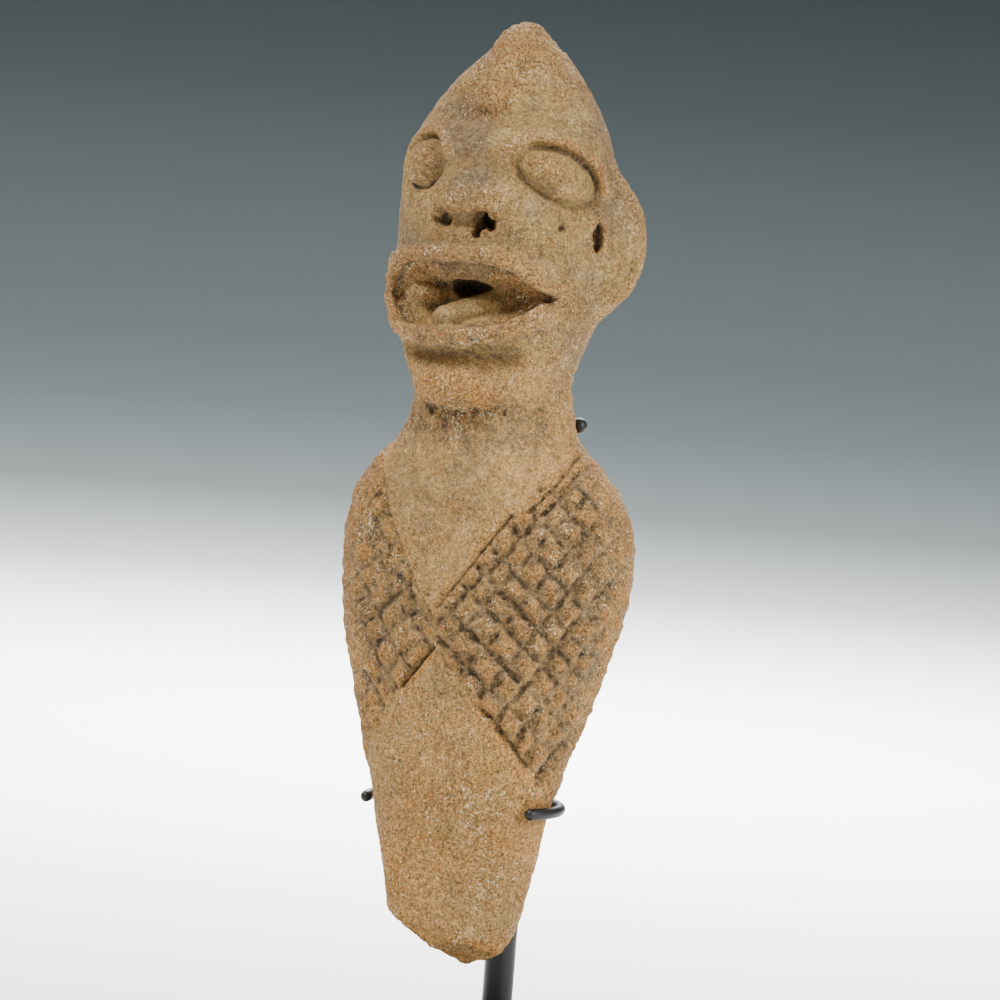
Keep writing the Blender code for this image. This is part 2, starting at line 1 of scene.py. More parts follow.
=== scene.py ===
"""Looks of a terracotta funerary figure held on its black display stand.

The clay figure is shaped again from the solid's own form at a finer grain, with its incised
lines, pits, worn rims and temper grains. The stand's rods and wires are rounded off, brazed
together and painted. Metres, +Z up, the face looks along -Y.
"""

import math

import bmesh
import bpy
import numpy as np
from mathutils import Matrix, Vector


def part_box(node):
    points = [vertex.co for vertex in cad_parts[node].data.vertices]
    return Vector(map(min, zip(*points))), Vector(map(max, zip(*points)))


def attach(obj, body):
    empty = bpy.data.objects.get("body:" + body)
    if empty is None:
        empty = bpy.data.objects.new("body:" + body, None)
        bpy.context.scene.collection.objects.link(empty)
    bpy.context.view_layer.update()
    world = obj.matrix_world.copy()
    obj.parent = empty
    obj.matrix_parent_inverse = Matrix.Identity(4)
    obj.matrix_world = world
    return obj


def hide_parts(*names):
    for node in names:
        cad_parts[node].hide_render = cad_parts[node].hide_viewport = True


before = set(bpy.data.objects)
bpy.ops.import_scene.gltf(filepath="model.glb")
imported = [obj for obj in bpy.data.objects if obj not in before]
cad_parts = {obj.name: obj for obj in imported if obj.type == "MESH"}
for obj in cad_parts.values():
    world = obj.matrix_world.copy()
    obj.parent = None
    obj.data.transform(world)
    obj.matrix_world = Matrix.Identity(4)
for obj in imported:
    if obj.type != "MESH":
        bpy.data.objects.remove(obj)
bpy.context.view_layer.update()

# Stand and figure, in millimetres
MM = 0.001
FIGURE_FLOOR = 44.0
MODELLED_HEIGHT = 240.0
POST_DIAMETER, SPINE_DIAMETER, WIRE_DIAMETER, BALL_TIP_DIAMETER = 8.0, 4.5, 3.0, 4.2
BASE_THICKNESS, POST_SEAT_DEPTH = 14.0, 10.0
WIRE_CLEARANCE, WELD_GAP = 0.4, 0.3
FIGURE_VOXEL = 0.64
# At most this many triangles on the clay figure
FIGURE_TRIANGLES = 194000

# Height, half width, half depth in front, half depth behind, and how far back the middle lies
BODY_SECTIONS = (
    (-6.0, 14.5, 11.5, 11.5, -1.2),
    (12.0, 18.0, 13.6, 13.4, -1.2),
    (34.0, 22.4, 16.2, 15.6, -1.3),
    (46.0, 25.2, 17.9, 17.4, -1.3),
    (70.0, 32.2, 22.2, 22.2, -0.2),
    (84.0, 36.4, 24.4, 25.4, 0.6),
    (100.0, 39.0, 25.4, 27.2, 1.2),
    (113.0, 38.4, 24.6, 26.6, 1.4),
    (122.0, 35.2, 22.6, 24.2, 1.2),
    (129.0, 29.8, 20.4, 21.0, 0.4),
    (136.0, 23.4, 18.4, 18.2, -0.4),
    (143.0, 21.2, 17.6, 17.4, -0.8),
    (175.0, 20.8, 16.0, 17.4, -1.0),
)
BODY_SQUARENESS = 2.15
HEAD_SECTIONS = (
    (138.0, 19.8, 18.0, 14.0, -1.5),
    (149.0, 21.8, 19.2, 17.0, -2.2),
    (160.0, 24.6, 20.8, 18.4, -2.6),
    (172.0, 26.8, 22.0, 19.8, -2.6),
    (184.0, 28.0, 21.8, 21.4, -2.4),
    (198.0, 28.0, 20.6, 22.2, -2.2),
    (208.0, 27.2, 19.8, 21.8, -1.8),
    (214.0, 25.0, 18.0, 20.4, -1.4),
    (220.0, 21.4, 15.4, 18.0, -0.8),
    (226.0, 17.2, 12.2, 14.8, 0.2),
    (232.0, 11.8, 8.8, 10.6, 1.8),
    (237.0, 6.6, 5.8, 6.0, 2.4),
    (242.0, 1.2, 1.2, 1.2, 2.6),
)
HEAD_SQUARENESS = 2.1
UNEVENNESS = 0.35

# Face
FACE_SIDE = 1.6
EYE_MIDDLE, EYE_HEIGHT, EYE_TILT = 3.2, 203.1, -0.035
EYE_FACING = math.radians(40)
EYE_BULGE = 2.7
EYE_GROOVE, EYE_GROOVE_WIDTH, EYE_GROOVE_RIM = 1.4, 0.9, 0.4
LID_HEIGHT, LID_WIDTH = 1.0, 1.8
# Each eye: how far out from the middle, how far forward, half length, half breadth and slant
NEAR_EYE = (20.3, 15.8, 9.3, 5.5, math.radians(20))
FAR_EYE = (18.5, 19.2, 7.4, 5.8, math.radians(12))
BROW, BROW_RADII = (EYE_MIDDLE, -16.5, 207.0), (16, 6.5, 4.5)
NOSE, NOSE_RADII = (FACE_SIDE, -22.6, 195.6), (10.4, 4.7, 4.6)
BRIDGE_TOP, BRIDGE_FOOT, BRIDGE_RADIUS = (FACE_SIDE, -18.5, 206.0), (FACE_SIDE, -22.6, 197.5), 3.2
WING, WING_RADII = (7.0, -23.6, 192.8), (3.8, 3.2, 2.6)
NOSTRIL_HEIGHT = 188.9
NOSE_GROOVE_ENDS, NOSE_GROOVE_RISE, NOSE_GROOVE_RADIUS = ((-6.4, -25.2), (9.4, -24.9)), 0.6, 2.6
# Holes torn up into the nose: place to the side, height over the nostrils, inner end and radius
NOSTRIL_HOLES = (
    (6.4, 1.5, -17.5, 2.2),
    (5.7, -1.5, -18.5, 1.8),
    (9.0, 0.3, -21.2, 1.7),
    (-5.0, 0.9, -22.9, 2.7),
)
EAR_SIDE, EAR_BACK, EAR_HEIGHT = 25.2, 3.4, 186.6
EAR_RADII = (11.8, 6.0, 17.4)
EAR_SPLAY = math.radians(20)
EAR_SLIT_SIDE, EAR_SLIT_BACK, EAR_SLIT_HEIGHT = 27.9, -3.6, 188.1
EAR_SLIT_RADII, EAR_SLIT_TURN = (4.0, 1.4, 4.0), math.radians(29)
CREST_LOW, CREST_HIGH, CREST_RADIUS = (1.8, -15.4, 220.2), (0.2, -3.6, 235.6), 4.5

# Mouth and chin
MOUTH_MIDDLE, MOUTH_HEIGHT, MOUTH_TILT = -1.0, 171.1, 0.035
# From the middle to the near and the far corner, and how square the opening is that way
MOUTH_NEAR, MOUTH_FAR = (24.0, 3.3), (20.8, 5.5)
MOUTH_RISE, MOUTH_DROP = 8.0, 8.2
MOUTH_RIM_DEPTH, MOUTH_DEPTH, MOUTH_RIDGE = 3.0, 8.8, 174.4
LIP_RADIUS, LIP_MIDDLE, LIP_OUT = 2.4, 2.0, 1.1
TONGUE_TIP, TONGUE_ROOT, TONGUE_RADIUS = (-3.6, -20.9, 164.8), (5.5, -14.2, 169.4), 3.2
THROAT, THROAT_RADII = (0.2, -14.0, 173.0), (6.0, 6.5, 2.9)
LUMP, LUMP_RADII = (-12.4, -15.8, 171.4), (5.8, 4.6, 3.0)
DROOP, DROOP_RADII = (2.7, -23.2, 160.4), (3.8, 2.6, 2.8)
CHIN, CHIN_RADII, CHIN_EDGE = (-0.4, -11.6, 148.4), (15.2, 12.9, 9.0), 142.2
CHIN_HOLLOW_HEIGHT, CHIN_HOLLOW, CHIN_HOLLOW_WIDTH = 156.6, 3.2, 2.8

# Garment, measured round the body as seen from half-way to the side, from the crossing up
CROSSING_SIDE, CROSSING_HEIGHT = 2.0, 81.0
HATCH_VIEW = math.radians(38)
HATCH_TURN_LIMIT = math.radians(100)
HATCH_BACK_PITCH = 21.0
# The near and the far edge: its lean, and where above the crossing it starts
NECKLINES = ((math.radians(56.5), 10.3), (math.radians(58.5), 6.5))
HEMS = ((math.radians(51), 1.9), (math.radians(55), 1.9))
NECKLINE_STEP, NECKLINE_STEP_OUT = 36.5, 0.8
GARMENT_TOP, GARMENT_BOTTOM = 51.0, 36.0
# The lines that rise and fall outwards: their lean, where they count from, and their places
RISING_LINES = (math.radians(50.3), 10.3, (2.6, 7.7, 14.5, 21.8, 28.5, 35.0, 40.3))
FALLING_LINES = (math.radians(41), 1.9, (1.8, 8.7, 15.9, 22.0, 27.7, 34.7, 41.5))
HATCH_PITCH = 6.5
HATCH_GROOVE, HATCH_GROOVE_WIDTH = 2.3, 1.7
EDGE_GROOVE_WIDTH = 0.7
GARMENT_THICKNESS = 0.8

# The broken end as planes: outward lean to the side and to the back, then height on the axis
BREAK_FACETS = (
    (-0.51, -0.32, 0.2),
    (0.38, 0.24, -0.6),
    (1.00, 0.64, -7.5),
    (0.30, -0.55, -2.6),
    (-0.30, 0.50, -2.4),
    (-1.10, 0.30, -8.0),
)

# Single pits and slits in the surface: place, radius and depth
PITS = (
    ((24.2, -14.0, 189.6), 0.9, 2.2),
    ((23.9, -3.2, 158.7), 0.8, 1.2),
    ((24.7, -15.1, 124.3), 1.3, 1.6),
    ((7.8, -15.1, 18.9), 0.9, 1.0),
    ((10.7, -20.4, 59.8), 0.9, 0.9),
    ((6.7, -18.8, 44.1), 0.8, 0.8),
    ((25.8, -6.0, 49.1), 1.2, 1.5),
    ((27.9, -1.9, 53.4), 1.0, 1.0),
    ((-0.3, -24.7, 95.2), 0.8, 1.0),
    ((32.0, -13.8, 112.6), 1.2, 0.8),
    ((35.0, 3.5, 182.4), 0.7, 1.2),
    ((35.0, 3.7, 180.6), 0.7, 1.2),
)

# Loose grains and pits of the surface: spacing of their cells, radius and height or depth
GRAIN_CELL, GRAIN_RADIUS, GRAIN_HEIGHT, LOST_GRAIN_DEPTH = 2.4, 0.85, 0.36, 0.5
PIT_CELL, PIT_RADIUS, PIT_DEPTH, CHIP_DEPTH = 10.0, 0.6, 0.8, 1.2

# Crushed temper on the surface: grains to a square metre, least and largest radius in metres
QUARTZ = (36000.0, 0.00012, 0.00028)
GROG = (40000.0, 0.00014, 0.0003)

# Where the clips reach round, counted in degrees from the middle of the back
HIP_CLIP_HEIGHT, HIP_CLIP_RISE, HIP_CLIP_TILT, HIP_CLIP_REACH = 40.7, 1.7, 0.9, 109.0
NECK_CLIP_HEIGHT, NECK_CLIP_REACH = 138.9, 33.0
POST_TOP_HEIGHT = 52.0

# Camera and lights, in metres, degrees and watts; each light's place, size and power
CAMERA_AZIMUTH, CAMERA_ELEVATION, CAMERA_LEAN = math.radians(32), math.radians(3), math.radians(4.5)
CAMERA_DISTANCE, SHOWN_WIDTH, SENSOR_WIDTH = 1.1, 0.25439, 36.0
AIM_HEIGHT, AIM_SIDE = 0.1627, 0.00307
CHEST, WALL_FOOT = (0, 0, 0.15), (-0.6, 1.05, 0.0)
SOFTBOXES = (
    ("key_softbox", (-0.3, -0.7, 1.15), CHEST, 0.4, 20.0),
    ("side_softbox", (1.15, -0.05, 0.6), CHEST, 0.5, 17.5),
    ("backdrop_softbox", (-0.5, 0.85, 0.8), WALL_FOOT, 0.8, 85.0),
)


# Form of the clay, in millimetres above the figure's broken tip

def through(heights, knots, column):
    """A smooth curve through one column of the sections, read at the given heights."""
    z = np.array([k[0] for k in knots])
    v = np.array([k[column] for k in knots])
    slope = np.gradient(v, z)
    h = np.clip(heights, z[0], z[-1])
    i = np.clip(np.searchsorted(z, h) - 1, 0, len(z) - 2)
    step = z[i + 1] - z[i]
    t = (h - z[i]) / step
    rise_in = v[i] * (1 + 2 * t) * (1 - t) ** 2 + slope[i] * step * t * (1 - t) ** 2
    rise_out = v[i + 1] * t**2 * (3 - 2 * t) + slope[i + 1] * step * t**2 * (t - 1)
    return rise_in + rise_out


def loft(p, knots, squareness):
    """How far outside the lofted sections each point lies, measured level."""
    x, y, z = p.T
    half_width = through(z, knots, 1)
    y = y - through(z, knots, 4)
    half_depth = np.where(y < 0, through(z, knots, 2), through(z, knots, 3))
    powers = np.abs(x / half_width) ** squareness + np.abs(y / half_depth) ** squareness
    share = np.maximum(powers, 1e-9) ** (1 / squareness)
    radius = np.maximum(np.hypot(x, y), 1e-6)
    return radius * (1 - 1 / share)


def join(a, b, blend):
    """Two masses pressed together, with a fillet about as wide as blend."""
    h = np.clip(0.5 + 0.5 * (b - a) / blend, 0, 1)
    return b * (1 - h) + a * h - blend * h * (1 - h)


def overlap(a, b, blend):
    """What two masses have in common."""
    return -join(-a, -b, blend)


def cut(a, b, blend):
    """The first mass with the second scooped out of it."""
    return overlap(a, -b, blend)


def bump(distance, half_width):
    """1 where the distance is 0, falling off smoothly on both sides."""
    return np.exp(-((distance / half_width) ** 2))


def ramp(value, start, end):
    """0 before the start and 1 past the end, smooth between them."""
    t = np.clip((value - start) / (end - start), 0, 1)
    return t * t * (3 - 2 * t)


def ellipsoid(p, centre, radii, turn=0.0):
    """An egg of clay, with its width turned towards the back."""
    x, y, z = (p - np.array(centre)).T
    c, s = math.cos(turn), math.sin(turn)
    q = np.stack([c * x + s * y, c * y - s * x, z], 1)
    r = np.array(radii)
    near = np.linalg.norm(q / r, axis=1)
    steep = np.linalg.norm(q / (r * r), axis=1)
    return near * (near - 1) / np.maximum(steep, 1e-9)


def roll(p, start, end, radius):
    """A rolled sausage of clay between two points."""
    a, b = np.array(start), np.array(end)
    t = np.clip((p - a) @ (b - a) / ((b - a) @ (b - a)), 0, 1)
    return np.linalg.norm(p - a - t[:, None] * (b - a), axis=1) - radius


def shuffled(cells, seed):
    """A repeatable random number from 0 to 1 for each whole-numbered cell."""
    mixed = cells @ np.array((374761393, 668265263, 1440662683)) + seed * 1274126177
    mixed = mixed & 0xFFFFFFFF
    mixed = ((mixed ^ (mixed >> 13)) * 1103515245) & 0xFFFFFFFF
    mixed = ((mixed ^ (mixed >> 15)) * 69069) & 0xFFFFFFFF
    return ((mixed >> 8) & 0xFFFF) / 65535.0


def unevenness(p, size, seed):
    """Soft random swells about size millimetres across, from -1 to 1."""
    q = p / size
    cell = np.floor(q).astype(np.int64)
    t = q - cell
    t = t * t * (3 - 2 * t)
    total = np.zeros(len(p))
    for corner in np.ndindex(2, 2, 2):
        weight = np.prod(np.where(corner, t, 1 - t), axis=1)
        total += weight * shuffled(cell + np.array(corner), seed)
    return 2 * total - 1


def strewn(p, spacing, seed):
    """Distance to the nearest of grains strewn one to a cell, and that grain's random share."""
    q = p / spacing
    cell = np.floor(q).astype(np.int64)
    nearest = np.full(len(p), 9.0)
    share = np.zeros(len(p))
    for corner in np.ndindex(3, 3, 3):
        other = cell + np.array(corner) - 1
        spot = other + np.stack([shuffled(other, seed + k) for k in (1, 2, 3)], 1)
        distance = np.linalg.norm(q - spot, axis=1)
        share = np.where(distance < nearest, shuffled(other, seed), share)
        nearest = np.minimum(distance, nearest)
    return nearest * spacing, share


def eye_relief(p):
    """Pellet eyes set in grooves, with a raised lid above and a faint dimple for the pupil."""
    x, y, z = p.T
    relief = np.zeros(len(p))
    for side, (out_by, front, length, breadth, slant) in ((1, NEAR_EYE), (-1, FAR_EYE)):
        out = side * (x - EYE_MIDDLE) - out_by
        across = out * math.cos(EYE_FACING) + (y + front) * math.sin(EYE_FACING)
        up = z - EYE_HEIGHT - EYE_TILT * (x - EYE_MIDDLE)
        a = across * math.cos(slant) - up * math.sin(slant)
        b = across * math.sin(slant) + up * math.cos(slant)
        q = np.hypot(a / length, b / breadth)
        pellet = EYE_BULGE * np.clip(1 - q * q, 0, 1) ** 0.75
        pellet = pellet - 0.35 * bump(np.hypot(a + 0.6, b - 1.6), 1.0)
        groove = EYE_GROOVE * bump((q - 1.12) * breadth, EYE_GROOVE_WIDTH)
        groove = groove * (1 + EYE_GROOVE_RIM * ramp(b, 0, breadth))
        lid = LID_HEIGHT * bump((q - 1.6) * breadth, LID_WIDTH) * (0.3 + 0.7 * ramp(b, -2, 3))
        relief = relief + (pellet - groove + lid) * (side * (x - EYE_MIDDLE) > 0)
    return relief * ramp(-y, 0, 4)


def round_from_middle(p):
    """How far round from the middle of the front, as it looks, and how far above the crossing."""
    x, y, z = p.T
    half_width = through(z, BODY_SECTIONS, 1)
    half_depth = through(z, BODY_SECTIONS, 2)
    side = np.abs(x - CROSSING_SIDE * ramp(-y, 0, 15))
    turn = np.arctan2(side / half_width, -y / half_depth)
    seen = np.minimum(turn, HATCH_TURN_LIMIT)
    across = half_width * np.sin(seen) * math.cos(HATCH_VIEW)
    across = across + half_depth * (1 - np.cos(seen)) * math.sin(HATCH_VIEW)
    return across + HATCH_BACK_PITCH * (turn - seen), z - CROSSING_HEIGHT


def below_rising(across, rise, lean, start):
    """Distance out below a line that rises outwards."""
    return across * math.sin(lean) - (rise - start) * math.cos(lean)


def above_falling(across, rise, lean, start):
    """Distance up above a line that falls outwards."""
    return across * math.sin(lean) + (rise - start) * math.cos(lean)


def garment_edges(p):
    """Distances in from the neckline and up from the hem, and the height above the crossing."""
    across, rise = round_from_middle(p)
    near = p[:, 0] > CROSSING_SIDE
    necks = [below_rising(across, rise, *edge) for edge in NECKLINES]
    hems = [above_falling(across, rise, *edge) for edge in HEMS]
    lean, start, _ = RISING_LINES
    stepped = below_rising(across, rise, lean, start) + NECKLINE_STEP_OUT
    near_neck = np.where(rise > NECKLINE_STEP, stepped, necks[0])
    return np.where(near, near_neck, necks[1]), np.where(near, hems[0], hems[1]), rise


def nearest_line(distance, places):
    """Which incised line is nearest, counted from the edge, and how far off it is."""
    lines = np.array([*places, *(places[-1] + HATCH_PITCH * np.arange(1, 14))])
    line = np.searchsorted((lines[1:] + lines[:-1]) / 2, distance)
    return line, distance - lines[line]


def edge_strength(p, rise):
    """How firmly the neckline and the hem were cut, along their length."""
    near = p[:, 0] > CROSSING_SIDE
    neck = np.where(near, np.where(rise > NECKLINE_STEP, 1.2, 0.65), 0.7)
    near_hem = 0.3 * ramp(rise, -9, -4) + 1.3 * ramp(rise, -12, -14) * ramp(rise, -28, -26)
    far_hem = 1.5 * ramp(rise, -12, -8) + 0.15
    return neck, np.where(near, near_hem + 0.1, far_hem)


def towards_back(p):
    """0 on the front of the garment, rising to 1 on the flanks, sooner on the far side."""
    near = np.where(p[:, 0] > CROSSING_SIDE, 1, 0)
    return ramp(np.arctan2(np.abs(p[:, 0]), -p[:, 1]), 0.75 + 0.6 * near, 1.1 + 0.65 * near)


def hatch_grooves(p):
    """How deep the incised lines go, from 0 to about 1, how far inside the garment it is, and
    each pillow's own random share."""
    from_neck, from_hem, rise = garment_edges(p)
    across, _ = round_from_middle(p)
    ends = np.minimum(GARMENT_TOP - rise, GARMENT_BOTTOM + rise)
    inside = np.minimum(np.minimum(from_neck, from_hem), ends)
    waver = unevenness(p, 9.0, 21)
    neck, hem = edge_strength(p, rise)
    groove = neck * bump(from_neck + 0.25 * waver, EDGE_GROOVE_WIDTH) * ramp(from_hem, -0.5, 0.5)
    at_hem = hem * bump(from_hem + 0.25 * waver, EDGE_GROOVE_WIDTH) * ramp(from_neck, -0.5, 0.5)
    groove = np.maximum(groove, at_hem)
    side = np.where(p[:, 0] > CROSSING_SIDE, 1, 0)
    rising = below_rising(across, rise, *RISING_LINES[:2])
    falling = above_falling(across, rise, *FALLING_LINES[:2])
    pillow = side * 7
    families = ((rising, RISING_LINES[2], 31), (falling, FALLING_LINES[2], 47))
    for distance, places, seed in families:
        line, off = nearest_line(distance + 0.5 * waver, places)
        key = np.stack([line, side, 0 * line], 1)
        off = off - 1.6 * (shuffled(key, seed) - 0.5) * (1 - side)
        own_depth = 0.85 + 0.25 * shuffled(key, seed + 5)
        along = 0.95 + 0.2 * unevenness(p, 6.0, seed)
        cut_line = bump(off, HATCH_GROOVE_WIDTH) * ramp(inside, -0.2, 1.2)
        groove = np.maximum(groove, cut_line * own_depth * along)
        pillow = pillow * 31 + line + (off > 0)
    groove = groove * (1 - 0.8 * towards_back(p))
    return groove, inside, shuffled(np.stack([pillow, side, 0 * side], 1), 3)


def garment_relief(p):
    """Cloth a little proud of the body, cut into pillows by two families of grooves."""
    groove, inside, _ = hatch_grooves(p)
    return GARMENT_THICKNESS * ramp(inside, -0.4, 0.9) - HATCH_GROOVE * groove


def mouth_lens(p):
    """Distance outside the opening of the mouth, and height in it, seen from the front."""
    across = p[:, 0] - MOUTH_MIDDLE
    corner, fullness = (np.where(across > 0, MOUTH_NEAR[k], MOUTH_FAR[k]) for k in (0, 1))
    share = np.minimum(np.abs(across) / corner, 1.25)
    up = p[:, 2] - MOUTH_HEIGHT - MOUTH_TILT * across
    height = np.where(up > 0, MOUTH_RISE, MOUTH_DROP)
    slope = np.hypot(1, fullness * height * share ** (fullness - 1) / corner)
    above = (up - MOUTH_RISE * (1 - share**fullness)) / slope
    below = (-up - MOUTH_DROP * (1 - share**fullness)) / slope
    return np.maximum(above, below), up, np.abs(across) - corner


def broken_end(p):
    """How far below the faceted break each point lies."""
    x, y, z = p.T
    planes = [(lean_x * (x - 2.0) + lean_y * y + top) - z for lean_x, lean_y, top in BREAK_FACETS]
    return np.maximum.reduce(planes)


def clay(p):
    """How far outside the figure's clay each point lies, in millimetres; negative inside."""
    x, y, z = p.T
    wobble = np.sin(x * 0.21 + z * 0.13) + np.sin(y * 0.27 - z * 0.19 + 1.0) * np.cos(x * 0.17)
    body = overlap(loft(p, BODY_SECTIONS, BODY_SQUARENESS), z - 172.0, 2.0)
    head = loft(p, HEAD_SECTIONS, HEAD_SQUARENESS)
    sideways = ramp(np.abs(x), 8, 24)
    underside = 143.5 + 8.0 * ramp(y, -16, 8) + 6.0 * sideways
    head = overlap(head, underside - z, 3.0 + 8.0 * sideways)
    figure = join(body, head, 2.5 + 5.0 * sideways) - 0.5 * UNEVENNESS * wobble
    figure = add_features(p, figure)
    figure = open_mouth(p, figure)
    figure = cut_small_holes(p, figure)
    figure = figure - eye_relief(p) - garment_relief(p)
    return overlap(figure, broken_end(p), 1.0)


def add_features(p, figure):
    """Brow, nose, ears, crest and chin, pressed onto the head."""
    figure = join(figure, ellipsoid(p, BROW, BROW_RADII), 6.0)
    figure = join(figure, roll(p, BRIDGE_TOP, BRIDGE_FOOT, BRIDGE_RADIUS), 6.0)
    figure = join(figure, ellipsoid(p, NOSE, NOSE_RADII), 4.0)
    figure = join(figure, ellipsoid(p, WING, WING_RADII), 1.5)
    for side in (-1, 1):
        ear_centre = (side * EAR_SIDE, EAR_BACK, EAR_HEIGHT)
        figure = join(figure, ellipsoid(p, ear_centre, EAR_RADII, side * EAR_SPLAY), 7.0)
    crest = roll(p, CREST_LOW, CREST_HIGH, CREST_RADIUS)
    chin = overlap(ellipsoid(p, CHIN, CHIN_RADII), CHIN_EDGE + 0.02 * p[:, 0] ** 2 - p[:, 2], 1.6)
    worn_in = 1.2 + 5.0 * ramp(p[:, 2], 228, 236)
    return join(join(figure, crest, worn_in), chin, 1.2)


def open_mouth(p, figure):
    """Rolled lips round a bowl that deepens below a ridge, a hollow under them and a tongue."""
    x, y, z = p.T
    face = figure
    lens, up, past_corner = mouth_lens(p)
    hollow = CHIN_HOLLOW * bump(z - CHIN_HOLLOW_HEIGHT, CHIN_HOLLOW_WIDTH) * ramp(-y, 0, 8)
    figure = figure + hollow * ramp(CHIN_RADII[0] + 4.0 - np.abs(x), 0, 8)
    reach = np.where(x > MOUTH_MIDDLE, 0.0, 3.5)
    ends = ramp(-past_corner + reach, -3.5, 1.5)
    lips = np.hypot(lens - LIP_MIDDLE, face - LIP_OUT) - LIP_RADIUS * (0.5 + 0.5 * ends)
    lips = lips + 2.5 * (1 - ends)
    figure = np.where(y < 0, join(figure, lips, 1.6), figure)
    figure = join(figure, ellipsoid(p, DROOP, DROOP_RADII), 1.5)
    below_ridge = 0.3 + 0.7 * ramp(MOUTH_RIDGE - MOUTH_HEIGHT - up, -1.4, 1.4)
    bowl = ramp(-lens, 0, 5) * below_ridge * ramp(-past_corner, 1, 14) * ramp(x, -17, -6)
    rim_depth = MOUTH_RIM_DEPTH * (1 - 0.6 * ramp(-x, 9, 16))
    depth = rim_depth + (MOUTH_DEPTH - MOUTH_RIM_DEPTH) * bowl
    figure = np.where(y < 0, cut(figure, np.maximum(lens, -(face + depth)), 2.0), figure)
    figure = cut(figure, ellipsoid(p, THROAT, THROAT_RADII), 1.0)
    figure = join(figure, roll(p, TONGUE_TIP, TONGUE_ROOT, TONGUE_RADIUS), 1.2)
    return join(figure, ellipsoid(p, LUMP, LUMP_RADII), 2.0)


def cut_small_holes(p, figure):
    """The torn groove under the nose with its nostrils, and a slit at the root of each ear."""
    torn = 0.8 * unevenness(p, 2.2, 17)
    left, right = ((*end, NOSTRIL_HEIGHT + NOSE_GROOVE_RISE) for end in NOSE_GROOVE_ENDS)
    figure = cut(figure, roll(p, left, right, NOSE_GROOVE_RADIUS) + torn, 1.0)
    for x, rise, inner_y, radius in NOSTRIL_HOLES:
        height = NOSTRIL_HEIGHT + rise
        hole = roll(p, (x, -30.0, height - 0.4), (x - 0.4, inner_y, height), radius)
        figure = cut(figure, hole + torn, 0.5)
    for side in (-1, 1):
        place = (side * EAR_SLIT_SIDE, EAR_SLIT_BACK, EAR_SLIT_HEIGHT)
        figure = cut(figure, ellipsoid(p, place, EAR_SLIT_RADII, -side * EAR_SLIT_TURN), 0.6)
    return figure


def settle(points, steps):
    """Press points onto the clay's surface, square to it."""
    probe = 0.05
    for _ in range(steps):
        outside = clay(points)
        shifts = np.eye(3) * probe
        gradient = np.stack([clay(points + s) - clay(points - s) for s in shifts], 1) / (2 * probe)
        steepness = np.maximum((gradient**2).sum(1), 0.25)
        move = (outside / steepness)[:, None] * gradient
        length = np.maximum(np.linalg.norm(move, axis=1, keepdims=True), 1e-9)
        points = points - move * np.minimum(1, 0.5 / length)
    return points


# Meshes

def read_points(mesh):
    points = np.empty(len(mesh.vertices) * 3, dtype=np.float32)
    mesh.vertices.foreach_get("co", points)
    return points.reshape(-1, 3).astype(float)


def write_points(mesh, points):
    mesh.vertices.foreach_set("co", points.astype(np.float32).ravel())
    mesh.update()


def read_normals(mesh):
    normals = np.empty(len(mesh.vertices) * 3, dtype=np.float32)
    mesh.vertex_normals.foreach_get("vector", normals)
    return normals.reshape(-1, 3).astype(float)


def write_attribute(mesh, name, values):
    layer = mesh.attributes.new(name, "FLOAT", "POINT")
    layer.data.foreach_set("value", np.clip(values, 0, 1).astype(np.float32))


def show(name, mesh, *materials):
    """A shown object at the origin, carrying its materials."""
    obj = bpy.data.objects.new(name, mesh)
    bpy.context.scene.collection.objects.link(obj)
    for material in materials:
        mesh.materials.append(material)
    return obj


def as_plain_mesh(obj):
    """The object's mesh with its modifiers made real."""
    bpy.context.view_layer.update()
    depsgraph = bpy.context.evaluated_depsgraph_get()
    return bpy.data.meshes.new_from_object(obj.evaluated_get(depsgraph))


def make_real(obj, kind, **settings):
    """One modifier put on the object's mesh, made real and taken off again."""
    modifier = obj.modifiers.new(kind.lower(), kind)
    for name, value in settings.items():
        setattr(modifier, name, value)
    mesh = as_plain_mesh(obj)
    obj.modifiers.remove(modifier)
    obj.data = mesh


def wrapped_sphere(rings, segments):
    """A sphere whose rings are spread over the figure's height and pushed in onto the clay."""
    mesh = bpy.data.meshes.new("clay_figure")
    shape = bmesh.new()
    bmesh.ops.create_uvsphere(shape, u_segments=segments, v_segments=rings, radius=1.0)
    shape.to_mesh(mesh)
    shape.free()
    unit = read_points(mesh)
    height = MODELLED_HEIGHT * np.arccos(np.clip(-unit[:, 2], -1, 1)) / math.pi
    level = np.maximum(np.hypot(unit[:, 0], unit[:, 1]), 1e-6)
    way = unit[:, :2] / level[:, None]
    way[level < 1e-4] = 0.0
    radius = np.full(len(unit), 46.0)

    def placed(r):
        return np.stack([way[:, 0] * r, way[:, 1] * r, height], 1)

    step = 0.5
    for _ in range(int(46.0 / step)):
        outside = clay(placed(radius)) > 0
        radius = np.where(outside, np.maximum(radius - step, 0.2), radius)
    write_points(mesh, placed(radius))
    return mesh


def rubbed(values, edges, times):
    """Values evened out along the mesh's edges, as if rubbed over that many times."""
    count = np.maximum(np.bincount(edges.ravel(), minlength=len(values)), 1)[:, None]
    for _ in range(times):
        total = np.zeros_like(values)
        for k in range(values.shape[1]):
            ends = np.concatenate([values[edges[:, 1], k], values[edges[:, 0], k]])
            starts = np.concatenate([edges[:, 0], edges[:, 1]])
            total[:, k] = np.bincount(starts, weights=ends, minlength=len(values))
        values = 0.5 * values + 0.5 * total / count
    return values


